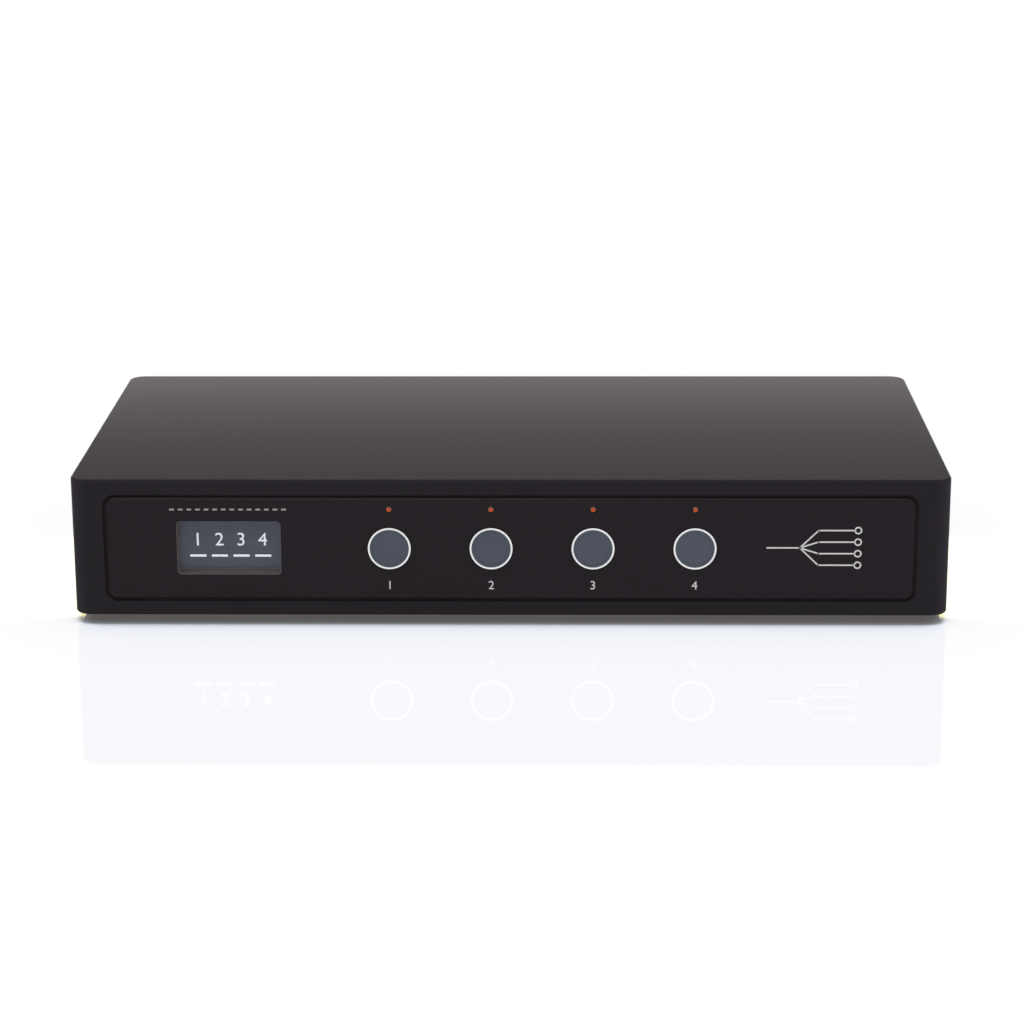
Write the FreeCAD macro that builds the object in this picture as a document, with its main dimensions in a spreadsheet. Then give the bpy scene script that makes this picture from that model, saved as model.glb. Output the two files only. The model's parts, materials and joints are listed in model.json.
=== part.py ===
import FreeCAD, Part
import Sketcher
import math
import os
import re

# Speaker selector switch with four zone buttons, a small display and pull-off speaker plugs.
# Millimetres. X runs to the right, Y from the front to the back, Z up from the feet.
# Each piece of the case is drawn from the case's front plane and bottom edge.

Vector = FreeCAD.Vector
DOC = FreeCAD.newDocument("speaker_selector_switch")
SHEET = DOC.addObject("Spreadsheet::Sheet", "sizes")

SIZES = [
    ("case_width", 190.0),
    ("case_depth", 96.0),
    ("case_height", 30.5),
    ("case_corner_radius", 3.7),
    ("case_edge_chamfer", 0.3),
    ("top_wall", 2.2),
    ("side_wall", 2.4),
    ("end_wall", 3.4),
    ("recess_side", 7.1),
    ("recess_bottom", 3.1),
    ("recess_top", 3.4),
    ("recess_radius", 2.6),
    ("ledge_width", 2.0),
    ("panel_thickness", 2.0),
    ("panel_gap", 0.6),
    ("panel_edge_chamfer", 0.35),
    ("base_thickness", 2.0),
    ("base_setback", 0.5),
    ("base_gap", 0.25),
    ("boss_radius", 3.5),
    ("boss_inset_x", 9.0),
    ("boss_inset_y", 10.5),
    ("boss_rib_thickness", 1.4),
    ("screw_shank_radius", 1.25),
    ("screw_pilot_radius", 1.3),
    ("screw_clear_radius", 1.6),
    ("screw_head_radius", 2.7),
    ("screw_head_height", 1.2),
    ("screw_head_gap", 0.3),
    ("screw_slot_width", 0.7),
    ("screw_slot_depth", 0.6),
    ("base_screw_length", 9.0),
    ("pilot_depth", 10.0),
    ("foot_height", 2.2),
    ("foot_radius", 6.0),
    ("foot_taper", 0.8),
    ("foot_inset_x", 22.0),
    ("foot_inset_y", 17.0),
    ("window_width", 22.6),
    ("window_height", 12.1),
    ("window_radius", 0.9),
    ("window_inset", 34.2),
    ("row_rise", 0.1),
    ("window_setback", 0.3),
    ("window_fit", 0.08),
    ("window_flange", 1.4),
    ("window_flange_thickness", 0.8),
    ("display_gap", 0.3),
    ("display_width", 26.7),
    ("display_room", 0.4),
    ("display_thickness", 1.45),
    ("display_fit", 0.15),
    ("holder_wall", 1.4),
    ("holder_back", 1.2),
    ("first_button_step", 34.75),
    ("button_pitch", 22.0),
    ("button_radius", 3.95),
    ("button_clearance", 0.1),
    ("button_proud", 0.2),
    ("button_flange", 1.2),
    ("button_flange_thickness", 0.8),
    ("button_flange_gap", 0.1),
    ("button_stem_radius", 1.6),
    ("button_edge_chamfer", 0.2),
    ("button_travel", 0.5),
    ("ring_width", 0.58),
    ("ring_length", 1.5),
    ("ring_proud", 0.3),
    ("ring_fit", 0.03),
    ("led_drop", 6.6),
    ("pipe_radius", 0.75),
    ("pipe_fit", 0.05),
    ("pipe_proud", 0.1),
    ("pipe_shoulder_radius", 1.2),
    ("pipe_shoulder_length", 0.8),
    ("led_width", 1.6),
    ("led_height", 0.9),
    ("led_thickness", 0.7),
    ("led_gap", 0.3),
    ("front_board_y", 9.5),
    ("board_thickness", 1.6),
    ("front_board_gap", 0.5),
    ("front_board_reach", 12.05),
    ("front_board_edge_gap", 0.3),
    ("front_post_radius", 2.4),
    ("front_post_inset", 3.2),
    ("small_screw_length", 5.0),
    ("switch_size", 6.0),
    ("switch_height", 3.5),
    ("switch_leg_width", 0.7),
    ("switch_leg_reach", 0.9),
    ("switch_leg_thickness", 0.4),
    ("plunger_radius", 1.75),
    ("plunger_fit", 0.08),
    ("plunger_reach", 1.5),
    ("plunger_depth", 1.0),
    ("standoff_height", 4.0),
    ("standoff_radius", 3.0),
    ("main_board_front", 14.0),
    ("main_board_gap", 2.5),
    ("main_board_back_gap", 0.5),
    ("main_screw_inset", 6.0),
    ("main_screw_setback", 4.5),
    ("relay_width", 12.7),
    ("relay_depth", 29.0),
    ("relay_height", 15.7),
    ("relay_gap", 8.0),
    ("relay_chamfer", 0.6),
    ("radio_width", 18.0),
    ("radio_depth", 25.5),
    ("radio_board_thickness", 0.8),
    ("radio_setback", 3.0),
    ("radio_can_width", 15.8),
    ("radio_can_depth", 17.6),
    ("radio_can_height", 2.4),
    ("radio_can_inset", 1.0),
    ("capacitor_radius", 5.0),
    ("capacitor_height", 14.0),
    ("capacitor_neck_z", 2.2),
    ("capacitor_neck_depth", 0.5),
    ("link_width", 14.0),
    ("link_height", 5.0),
    ("link_lap", 12.0),
    ("terminal_pitch", 5.08),
    ("header_end", 0.75),
    ("header_height", 8.4),
    ("header_depth", 12.0),
    ("header_wall", 0.7),
    ("header_floor", 2.5),
    ("header_proud", 0.5),
    ("panel_hole_gap", 0.2),
    ("zone_gap", 2.8),
    ("input_gap", 6.2),
    ("inlet_gap", 9.0),
    ("pin_width", 1.0),
    ("pin_fit", 0.3),
    ("pin_setback", 1.5),
    ("plug_fit", 0.15),
    ("plug_seat_gap", 0.3),
    ("plug_block_depth", 10.6),
    ("plug_block_height", 15.0),
    ("plug_block_drop", 1.0),
    ("plug_step", 2.6),
    ("plug_wire_width", 3.2),
    ("plug_wire_height", 3.2),
    ("plug_wire_depth", 7.0),
    ("plug_well_radius", 1.9),
    ("plug_well_depth", 3.0),
    ("clamp_screw_radius", 1.7),
    ("clamp_screw_height", 2.2),
    ("inlet_width", 8.94),
    ("inlet_height", 3.26),
    ("inlet_depth", 7.4),
    ("inlet_wall", 0.3),
    ("inlet_end_flat", 0.16),
    ("inlet_tongue_width", 6.7),
    ("inlet_tongue_height", 0.7),
    ("inlet_floor", 1.2),
    ("inlet_tongue_setback", 0.8),
]


def fill_sheet():
    for row, (alias, value) in enumerate(SIZES, start=1):
        SHEET.set(f"A{row}", alias.replace("_", " "))
        SHEET.set(f"B{row}", str(value))
        SHEET.setAlias(f"B{row}", alias)
    DOC.recompute()


# Sizes that follow from the sheet, as expressions of its names.
PLUG_PROUD = "(plug_seat_gap + header_proud + plug_block_depth)"
FRONT_Y = f"((ring_proud - case_depth - {PLUG_PROUD}) / 2)"
RECESS_LEFT = "(recess_side - case_width / 2)"
RECESS_RIGHT = "(case_width / 2 - recess_side)"
RECESS_LOW = "recess_bottom"
RECESS_HIGH = "(case_height - recess_top)"
PANEL_RADIUS = "(recess_radius - panel_gap)"
BASE_TOP = "(base_setback + base_thickness)"
CEILING = "(case_height - top_wall)"
WINDOW_X = "(window_inset - case_width / 2)"
PANEL_MIDDLE = "((recess_bottom + case_height - recess_top) / 2)"
ROW_Z = f"({PANEL_MIDDLE} + row_rise)"
BUTTON_X = f"({WINDOW_X} + first_button_step)"
LED_Z = "(case_height - led_drop)"
DISPLAY_HEIGHT = "(case_height - recess_bottom - recess_top - 2 * ledge_width - 2 * display_room)"
BOARD_LOW = "(base_setback + base_thickness + standoff_height)"
BOARD_TOP = f"({BOARD_LOW} + board_thickness)"
BOARD_BACK = "(case_depth - end_wall - main_board_back_gap)"
HEADER_WIDTH = "(4 * terminal_pitch + 2 * header_end)"
HEADER_FRONT = "(case_depth + header_proud - header_depth)"
TERMINAL_ROW = f"(5 * {HEADER_WIDTH} + 3 * zone_gap + input_gap + inlet_gap + inlet_width)"
FIRST_ZONE_X = f"({HEADER_WIDTH} / 2 - {TERMINAL_ROW} / 2)"
ZONE_STEP = f"({HEADER_WIDTH} + zone_gap)"
INPUT_X = f"({FIRST_ZONE_X} + 3 * {ZONE_STEP} + {HEADER_WIDTH} + input_gap)"
INLET_X = f"({INPUT_X} + {HEADER_WIDTH} / 2 + inlet_gap + inlet_width / 2)"
PLUG_WIDTH = "(4 * terminal_pitch)"
RING_OUTER = "(button_radius + button_clearance + ring_width)"
RING_INNER = "(button_radius + button_clearance)"
FLANGE_Y = "(panel_thickness + button_flange_gap)"
SWITCH_Y = "(front_board_y - switch_height)"
PLUNGER_Y = f"({SWITCH_Y} - plunger_reach)"
DISPLAY_Y = "(panel_thickness + window_flange_thickness + display_gap)"
FRONT_BOARD_LEFT = "(boss_inset_x + boss_radius + front_board_gap - case_width / 2)"
FRONT_BOARD_RIGHT = f"({BUTTON_X} + 3 * button_pitch + front_board_reach)"
FRONT_BOARD_LOW = "(recess_bottom + ledge_width + front_board_edge_gap)"
FRONT_BOARD_HIGH = "(case_height - recess_top - ledge_width - front_board_edge_gap)"
FRONT_BOARD_BACK = "(front_board_y + board_thickness)"
MAIN_BOARD_HALF = "(case_width / 2 - boss_inset_x - boss_radius - main_board_gap)"
MAIN_SCREW_X = f"({MAIN_BOARD_HALF} - main_screw_inset)"
MAIN_SCREW_FRONT = "(main_board_front + main_screw_inset)"
MAIN_SCREW_BACK = f"({HEADER_FRONT} - main_screw_setback)"
RELAY_Y = f"({HEADER_FRONT} - relay_gap - relay_depth / 2)"
RADIO_Y = "(main_board_front + radio_setback + radio_depth / 2)"
CAPACITOR_Y = f"({HEADER_FRONT} - relay_gap - capacitor_radius)"

WORD = re.compile(r"[a-z][a-z0-9_]*")
ALIASES = {alias for alias, value in SIZES}


def bound(text):
    """The expression with each size's name pointing at its cell."""
    def cell(found):
        word = found.group()
        return f"sizes.{word}" if word in ALIASES else word
    return WORD.sub(cell, text)


def number(text):
    """The present value of an expression of sizes."""
    return float(SHEET.evalExpression(bound(text)))


def bind(thing, prop, text):
    thing.setExpression(prop, bound(text))


def place(piece, x="0", y=FRONT_Y, z="foot_height"):
    bind(piece, "Placement.Base.x", x)
    bind(piece, "Placement.Base.y", y)
    bind(piece, "Placement.Base.z", z)


def new_body(label):
    body = DOC.addObject("PartDesign::Body", label)
    body.Label = label
    return body


# Points closer together than this are one point.
SAME_PLACE = 0.0001

PLANES = {"front": ("XZ_Plane", -1), "top": ("XY_Plane", 1), "side": ("YZ_Plane", 1)}


def new_sketch(body, facing, at="0"):
    """A sketch parallel to an origin plane: front is X-Z at a Y, top is X-Y at a Z, side is Y-Z at an X."""
    role, sign = PLANES[facing]
    plane = next(feature for feature in body.Origin.OriginFeatures if feature.Role == role)
    sketch = body.newObject("Sketcher::SketchObject", "Sketch")
    sketch.AttachmentSupport = [(plane, "")]
    sketch.MapMode = "FlatFace"
    bind(sketch, "AttachmentOffset.Base.z", at if sign > 0 else f"-({at})")
    return sketch


def fix(sketch, kind, geometry, point, text):
    index = sketch.addConstraint(Sketcher.Constraint(kind, -1, 1, geometry, point, number(text)))
    sketch.setExpression(f"Constraints[{index}]", bound(text))


def fix_radius(sketch, geometry, text):
    index = sketch.addConstraint(Sketcher.Constraint("Radius", geometry, number(text)))
    sketch.setExpression(f"Constraints[{index}]", bound(text))


def draw_polygon(sketch, points):
    """A closed outline of straight lines through points given as pairs of expressions."""
    corners = [Vector(number(x), number(y), 0) for x, y in points]
    count = len(points)
    lines = [
        sketch.addGeometry(Part.LineSegment(corners[i], corners[(i + 1) % count])) for i in range(count)
    ]
    for i, (x, y) in enumerate(points):
        sketch.addConstraint(Sketcher.Constraint("Coincident", lines[i - 1], 2, lines[i], 1))
        fix(sketch, "DistanceX", lines[i], 1, x)
        fix(sketch, "DistanceY", lines[i], 1, y)


def draw_box(sketch, left, low, right, high):
    draw_polygon(sketch, [(left, low), (right, low), (right, high), (left, high)])


def draw_circle(sketch, x, y, radius):
    centre = Vector(number(x), number(y), 0)
    circle = sketch.addGeometry(Part.Circle(centre, Vector(0, 0, 1), number(radius)))
    fix(sketch, "DistanceX", circle, 3, x)
    fix(sketch, "DistanceY", circle, 3, y)
    fix_radius(sketch, circle, radius)


def draw_rounded_box(sketch, left, low, right, high, radius):
    """A rectangle whose four corners are tangent arcs of one radius."""
    centres = [
        (f"{right} - ({radius})", f"{high} - ({radius})"),
        (f"{left} + ({radius})", f"{high} - ({radius})"),
        (f"{left} + ({radius})", f"{low} + ({radius})"),
        (f"{right} - ({radius})", f"{low} + ({radius})"),
    ]
    quarter = math.pi / 2
    arcs = []
    for i, (x, y) in enumerate(centres):
        circle = Part.Circle(Vector(number(x), number(y), 0), Vector(0, 0, 1), number(radius))
        arcs.append(sketch.addGeometry(Part.ArcOfCircle(circle, i * quarter, (i + 1) * quarter)))
    for i, (x, y) in enumerate(centres):
        following = arcs[(i + 1) % 4]
        start = sketch.Geometry[arcs[i]].EndPoint
        end = sketch.Geometry[following].StartPoint
        line = sketch.addGeometry(Part.LineSegment(start, end))
        fix(sketch, "DistanceX", arcs[i], 3, x)
        fix(sketch, "DistanceY", arcs[i], 3, y)
        fix_radius(sketch, arcs[i], radius)
        sketch.addConstraint(Sketcher.Constraint("Tangent", arcs[i], 2, line, 1))
        sketch.addConstraint(Sketcher.Constraint("Tangent", line, 2, following, 1))


def faces_forward(sketch):
    return sketch.AttachmentSupport[0][0].Role != "XZ_Plane"


def pad(body, sketch, length, backward=False):
    """Material from the sketch towards +X, +Y or +Z, or the other way when backward."""
    feature = body.newObject("PartDesign::Pad", "Pad")
    feature.Profile = sketch
    bind(feature, "Length", length)
    feature.Reversed = faces_forward(sketch) == backward
    DOC.recompute()
    return feature


def pocket(body, sketch, length, backward=False):
    """A cut from the sketch towards +X, +Y or +Z, or the other way when backward."""
    before = body.Shape.Volume
    feature = body.newObject("PartDesign::Pocket", "Pocket")
    feature.Profile = sketch
    bind(feature, "Length", length)
    feature.Reversed = faces_forward(sketch) != backward
    DOC.recompute()
    if not body.Shape.Volume < before:
        raise RuntimeError(f"a pocket of {body.Label} cuts nothing")
    return feature


def repeat(body, originals, sketch, axis, step, count, backward=False):
    """Copies of features along a sketch axis, step apart."""
    pattern = body.newObject("PartDesign::LinearPattern", "LinearPattern")
    pattern.Originals = originals
    pattern.Direction = (sketch, [axis])
    bind(pattern, "Length", f"{count - 1} * {step}")
    pattern.Occurrences = count
    pattern.Reversed = backward
    body.Tip = pattern
    DOC.recompute()
    return pattern


def turn(body, points):
    """A solid turned about the vertical axis from a profile of radius and height pairs."""
    sketch = new_sketch(body, "front")
    draw_polygon(sketch, points)
    feature = body.newObject("PartDesign::Revolution", "Revolution")
    feature.Profile = sketch
    feature.ReferenceAxis = (sketch, ["V_Axis"])
    feature.Angle = 360
    DOC.recompute()
    return feature


def edges_where(shape, test):
    return [f"Edge{i}" for i, edge in enumerate(shape.Edges, start=1) if test(edge.BoundBox)]


def soften(body, kind, test, size):
    """A fillet or a chamfer on the edges whose bounding box passes the test."""
    base = body.Tip
    names = edges_where(body.Shape, test)
    if not names:
        raise RuntimeError(f"no edge of {body.Label} to soften")
    feature = body.newObject(f"PartDesign::{kind}", kind)
    feature.Base = (base, names)
    bind(feature, "Radius" if kind == "Fillet" else "Size", size)
    DOC.recompute()
    return feature


def flat_at(axis, value):
    """A test for edges that lie in one plane across an axis."""
    def test(box):
        low = getattr(box, f"{axis}Min")
        high = getattr(box, f"{axis}Max")
        return max(abs(low - value), abs(high - value)) < SAME_PLACE
    return test


# Case, panels and feet

def corner_places():
    """The four corner bosses as pairs of expressions, in the case's own X and Y."""
    left = "boss_inset_x - case_width / 2"
    right = "case_width / 2 - boss_inset_x"
    front = "boss_inset_y"
    back = "case_depth - boss_inset_y"
    return [(left, front), (right, front), (left, back), (right, back)]


def end_recess(body, facing_back):
    """A shallow seat for a panel in one end wall, and the opening behind its ledge."""
    at = "case_depth" if facing_back else "0"
    seat = new_sketch(body, "front", at)
    draw_rounded_box(seat, RECESS_LEFT, RECESS_LOW, RECESS_RIGHT, RECESS_HIGH, "recess_radius")
    pocket(body, seat, "panel_thickness", backward=facing_back)
    opening = new_sketch(body, "front", at)
    draw_box(
        opening,
        f"{RECESS_LEFT} + ledge_width",
        f"{RECESS_LOW} + ledge_width",
        f"{RECESS_RIGHT} - ledge_width",
        f"{RECESS_HIGH} - ledge_width",
    )
    pocket(body, opening, "end_wall + base_gap", backward=facing_back)


def make_case_shell():
    body = new_body("case_shell")
    outline = new_sketch(body, "top")
    draw_rounded_box(
        outline, "-case_width / 2", "0", "case_width / 2", "case_depth", "case_corner_radius"
    )
    pad(body, outline, "case_height")
    soften(body, "Chamfer", flat_at("Z", number("case_height")), "case_edge_chamfer")
    soften(body, "Chamfer", flat_at("Z", 0.0), "case_edge_chamfer")
    hollow = new_sketch(body, "top")
    inner = "case_width / 2 - side_wall"
    draw_box(hollow, f"-({inner})", "end_wall", inner, "case_depth - end_wall")
    pocket(body, hollow, CEILING)
    end_recess(body, facing_back=False)
    end_recess(body, facing_back=True)
    bosses = new_sketch(body, "top", BASE_TOP)
    for x, y in corner_places():
        draw_circle(bosses, x, y, "boss_radius")
    pad(body, bosses, f"{CEILING} - {BASE_TOP} + top_wall / 2")
    ribs = new_sketch(body, "top", BASE_TOP)
    for index, (x, y) in enumerate(corner_places()):
        wall = "case_width / 2 - side_wall / 2" if index % 2 else "side_wall / 2 - case_width / 2"
        left, right = (x, wall) if index % 2 else (wall, x)
        draw_box(ribs, left, f"{y} - boss_rib_thickness / 2", right, f"{y} + boss_rib_thickness / 2")
    pad(body, ribs, f"{CEILING} - {BASE_TOP} + top_wall / 2")
    pilots = new_sketch(body, "top", BASE_TOP)
    for x, y in corner_places():
        draw_circle(pilots, x, y, "screw_pilot_radius")
    pocket(body, pilots, "pilot_depth")
    place(body)
    return body


def standoff_places():
    return [
        (f"-{MAIN_SCREW_X}", MAIN_SCREW_FRONT),
        (MAIN_SCREW_X, MAIN_SCREW_FRONT),
        (f"-{MAIN_SCREW_X}", MAIN_SCREW_BACK),
        (MAIN_SCREW_X, MAIN_SCREW_BACK),
    ]


def make_base_plate():
    """The plate that closes the case from below, with standoffs for the main board."""
    body = new_body("base_plate")
    outline = new_sketch(body, "top", "base_setback")
    draw_box(
        outline,
        "side_wall + base_gap - case_width / 2",
        "end_wall + base_gap",
        "case_width / 2 - side_wall - base_gap",
        "case_depth - end_wall - base_gap",
    )
    pad(body, outline, "base_thickness")
    posts = new_sketch(body, "top", BASE_TOP)
    for x, y in standoff_places():
        draw_circle(posts, x, y, "standoff_radius")
    pad(body, posts, "standoff_height")
    pilots = new_sketch(body, "top", BOARD_LOW)
    for x, y in standoff_places():
        draw_circle(pilots, x, y, "screw_pilot_radius")
    pocket(body, pilots, "standoff_height", backward=True)
    holes = new_sketch(body, "top", "base_setback")
    for x, y in corner_places():
        draw_circle(holes, x, y, "screw_clear_radius")
    pocket(body, holes, "base_thickness")
    sinks = new_sketch(body, "top", "base_setback")
    for x, y in corner_places():
        draw_circle(sinks, x, y, "screw_head_radius + screw_head_gap")
    pocket(body, sinks, "screw_head_height")
    place(body)
    return body


def make_feet():
    """Round rubber feet, narrower at the floor."""
    feet = []
    middle = "case_width / 2 - foot_inset_x"
    height = "(foot_height + base_setback)"
    for name, x, y in [
        ("foot_front_left", f"-({middle})", "foot_inset_y"),
        ("foot_front_right", middle, "foot_inset_y"),
        ("foot_rear_left", f"-({middle})", "case_depth - foot_inset_y"),
        ("foot_rear_right", middle, "case_depth - foot_inset_y"),
    ]:
        body = new_body(name)
        turn(body, [
            ("0", "0"),
            ("foot_radius - foot_taper", "0"),
            ("foot_radius", "foot_taper"),
            ("foot_radius", height),
            ("0", height),
        ])
        place(body, x, f"{FRONT_Y} + {y}", "0")
        feet.append(body)
    return feet


def panel_outline(body, at):
    """A panel's plate, smaller than its recess by the gap all round."""
    sketch = new_sketch(body, "front", at)
    draw_rounded_box(
        sketch,
        f"{RECESS_LEFT} + panel_gap",
        f"{RECESS_LOW} + panel_gap",
        f"{RECESS_RIGHT} - panel_gap",
        f"{RECESS_HIGH} - panel_gap",
        PANEL_RADIUS,
    )
    return sketch


def window_box(extra):
    """The window's left, low, right and high edges, grown by an amount."""
    return (
        f"{WINDOW_X} - window_width / 2 - ({extra})",
        f"{ROW_Z} - window_height / 2 - ({extra})",
        f"{WINDOW_X} + window_width / 2 + ({extra})",
        f"{ROW_Z} + window_height / 2 + ({extra})",
    )


def front_post_places():
    left = f"{FRONT_BOARD_LEFT} + front_post_inset"
    right = f"{FRONT_BOARD_RIGHT} - front_post_inset"
    low = f"{FRONT_BOARD_LOW} + front_post_inset"
    high = f"{FRONT_BOARD_HIGH} - front_post_inset"
    return [(left, low), (right, low), (left, high), (right, high)]


def make_front_fascia():
    """The inset front panel: window, four ringed button holes, four lamp holes and board posts."""
    body = new_body("front_fascia")
    pad(body, panel_outline(body, "0"), "panel_thickness")
    soften(body, "Chamfer", flat_at("Y", 0.0), "panel_edge_chamfer")
    window = new_sketch(body, "front")
    draw_rounded_box(window, *window_box("0"), "window_radius")
    pocket(body, window, "panel_thickness")
    hole = new_sketch(body, "front")
    draw_circle(hole, BUTTON_X, ROW_Z, RING_INNER)
    through = pocket(body, hole, "panel_thickness")
    seat = new_sketch(body, "front")
    draw_circle(seat, BUTTON_X, ROW_Z, f"{RING_OUTER} + ring_fit")
    ring_seat = pocket(body, seat, "ring_length - ring_proud")
    lamp = new_sketch(body, "front")
    draw_circle(lamp, BUTTON_X, LED_Z, "pipe_radius + pipe_fit")
    lamp_hole = pocket(body, lamp, "panel_thickness")
    repeat(body, [through, ring_seat, lamp_hole], hole, "H_Axis", "button_pitch", 4)
    posts = new_sketch(body, "front", "panel_thickness / 2")
    for x, z in front_post_places():
        draw_circle(posts, x, z, "front_post_radius")
    pad(body, posts, "front_board_y - panel_thickness / 2")
    pilots = new_sketch(body, "front", "front_board_y")
    for x, z in front_post_places():
        draw_circle(pilots, x, z, "screw_pilot_radius")
    pocket(body, pilots, "small_screw_length", backward=True)
    place(body)
    return body


def terminal_places():
    """Each terminal's name and its place along X, as the rear shows them."""
    zones = [(f"{zone}", f"{FIRST_ZONE_X} + {zone - 1} * {ZONE_STEP}") for zone in range(1, 5)]
    return zones + [("input", INPUT_X)]


def make_rear_panel():
    """The inset rear panel with an opening for each terminal header and for the power inlet."""
    body = new_body("rear_panel")
    pad(body, panel_outline(body, "case_depth - panel_thickness"), "panel_thickness")
    soften(body, "Chamfer", flat_at("Y", number("case_depth")), "panel_edge_chamfer")
    openings = new_sketch(body, "front", "case_depth")
    for name, x in terminal_places():
        draw_box(
            openings,
            f"{x} - {HEADER_WIDTH} / 2 - panel_hole_gap",
            f"{BOARD_TOP} - panel_hole_gap",
            f"{x} + {HEADER_WIDTH} / 2 + panel_hole_gap",
            f"{BOARD_TOP} + header_height + panel_hole_gap",
        )
    pocket(body, openings, "panel_thickness", backward=True)
    inlet = new_sketch(body, "front", "case_depth")
    draw_rounded_box(
        inlet,
        f"{INLET_X} - inlet_width / 2 - panel_hole_gap",
        f"{BOARD_TOP} - panel_hole_gap",
        f"{INLET_X} + inlet_width / 2 + panel_hole_gap",
        f"{BOARD_TOP} + inlet_height + panel_hole_gap",
        "(inlet_height - inlet_end_flat) / 2 + panel_hole_gap",
    )
    pocket(body, inlet, "panel_thickness", backward=True)
    place(body)
    return body


# Display

def make_display_window():
    """A clear lens that fills the window from behind, held by a flange."""
    body = new_body("display_window")
    flange = new_sketch(body, "front", "panel_thickness")
    draw_rounded_box(flange, *window_box("window_flange"), "window_radius")
    pad(body, flange, "window_flange_thickness")
    lens = new_sketch(body, "front", "window_setback")
    draw_rounded_box(lens, *window_box("-window_fit"), "window_radius - window_fit")
    pad(body, lens, "panel_thickness - window_setback + window_flange_thickness / 2")
    place(body)
    return body


def display_box(extra_x, extra_z):
    return (
        f"{WINDOW_X} - display_width / 2 - ({extra_x})",
        f"{PANEL_MIDDLE} - {DISPLAY_HEIGHT} / 2 - ({extra_z})",
        f"{WINDOW_X} + display_width / 2 + ({extra_x})",
        f"{PANEL_MIDDLE} + {DISPLAY_HEIGHT} / 2 + ({extra_z})",
    )


def make_display_panel():
    body = new_body("display_panel")
    glass = new_sketch(body, "front", DISPLAY_Y)
    draw_box(glass, *display_box("0", "0"))
    pad(body, glass, "display_thickness")
    place(body)
    return body


def make_display_holder():
    """A channel that grips the display panel at both sides and stands on the front board."""
    body = new_body("display_holder")
    block = new_sketch(body, "front", DISPLAY_Y)
    draw_box(block, *display_box("display_fit + holder_wall", "0"))
    pad(body, block, f"front_board_y - {DISPLAY_Y}")
    slot = new_sketch(body, "front", DISPLAY_Y)
    draw_box(slot, *display_box("display_fit", "0"))
    pocket(body, slot, "display_thickness")
    cavity = new_sketch(body, "front", f"{DISPLAY_Y} + display_thickness + holder_back")
    draw_box(cavity, *display_box("display_fit", "-holder_wall"))
    pocket(body, cavity, f"front_board_y - {DISPLAY_Y} - display_thickness - holder_back")
    place(body)
    return body


# Buttons, switches and lamps

def place_in_row(piece, index, height):
    place(piece, f"{BUTTON_X} + {index} * button_pitch", FRONT_Y, f"foot_height + {height}")


def make_button_ring(index):
    body = new_body(f"button_ring_{index + 1}")
    outer = new_sketch(body, "front", "-ring_proud")
    draw_circle(outer, "0", "0", RING_OUTER)
    pad(body, outer, "ring_length")
    bore = new_sketch(body, "front", "-ring_proud")
    draw_circle(bore, "0", "0", RING_INNER)
    pocket(body, bore, "ring_length")
    place_in_row(body, index, ROW_Z)
    return body


def make_button_cap(index):
    """A round cap with a flange behind the fascia and a stem down to its switch."""
    body = new_body(f"button_cap_{index + 1}")
    face = new_sketch(body, "front", "-button_proud")
    draw_circle(face, "0", "0", "button_radius")
    pad(body, face, f"button_proud + {FLANGE_Y}")
    soften(body, "Chamfer", flat_at("Y", -number("button_proud")), "button_edge_chamfer")
    flange = new_sketch(body, "front", FLANGE_Y)
    draw_circle(flange, "0", "0", "button_radius + button_flange")
    pad(body, flange, "button_flange_thickness")
    stem = new_sketch(body, "front", FLANGE_Y)
    draw_circle(stem, "0", "0", "button_stem_radius")
    pad(body, stem, f"{PLUNGER_Y} - {FLANGE_Y}")
    place_in_row(body, index, ROW_Z)
    return body


def make_switch_plunger(index):
    body = new_body(f"switch_plunger_{index + 1}")
    rod = new_sketch(body, "front", PLUNGER_Y)
    draw_circle(rod, "0", "0", "plunger_radius")
    pad(body, rod, "plunger_reach + plunger_depth")
    place_in_row(body, index, ROW_Z)
    return body


def make_tact_switch(index):
    """A square switch with a bore for its plunger and four legs on the board."""
    body = new_body(f"tact_switch_{index + 1}")
    half = "switch_size / 2"
    block = new_sketch(body, "front", SWITCH_Y)
    draw_box(block, f"-{half}", f"-{half}", half, half)
    pad(body, block, "switch_height")
    bore = new_sketch(body, "front", SWITCH_Y)
    draw_circle(bore, "0", "0", "plunger_radius + plunger_fit")
    pocket(body, bore, "plunger_depth + button_travel + plunger_fit")
    legs = new_sketch(body, "front", "front_board_y - switch_leg_thickness")
    for level in ("-", ""):
        z = f"{level}(switch_size / 2 - switch_leg_width)"
        draw_box(
            legs,
            f"-({half} + switch_leg_reach)",
            f"{z} - switch_leg_width / 2",
            f"{half} + switch_leg_reach",
            f"{z} + switch_leg_width / 2",
        )
    pad(body, legs, "switch_leg_thickness")
    place_in_row(body, index, ROW_Z)
    return body


def make_light_pipe(index):
    """A clear pipe from the lamp hole to the lamp on the board, with a shoulder behind the fascia."""
    body = new_body(f"light_pipe_{index + 1}")
    rod = new_sketch(body, "front", "-pipe_proud")
    draw_circle(rod, "0", "0", "pipe_radius")
    pad(body, rod, "pipe_proud + front_board_y - led_thickness - led_gap")
    soften(body, "Chamfer", flat_at("Y", -number("pipe_proud")), "pipe_radius / 3")
    shoulder = new_sketch(body, "front", "panel_thickness")
    draw_circle(shoulder, "0", "0", "pipe_shoulder_radius")
    pad(body, shoulder, "pipe_shoulder_length")
    place_in_row(body, index, LED_Z)
    return body


def make_group(label, solids):
    """One node of separate equal solids, drawn in the case's own frame."""
    piece = DOC.addObject("Part::Feature", label)
    piece.Label = label
    piece.Shape = Part.makeCompound(solids)
    place(piece)
    return piece


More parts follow.
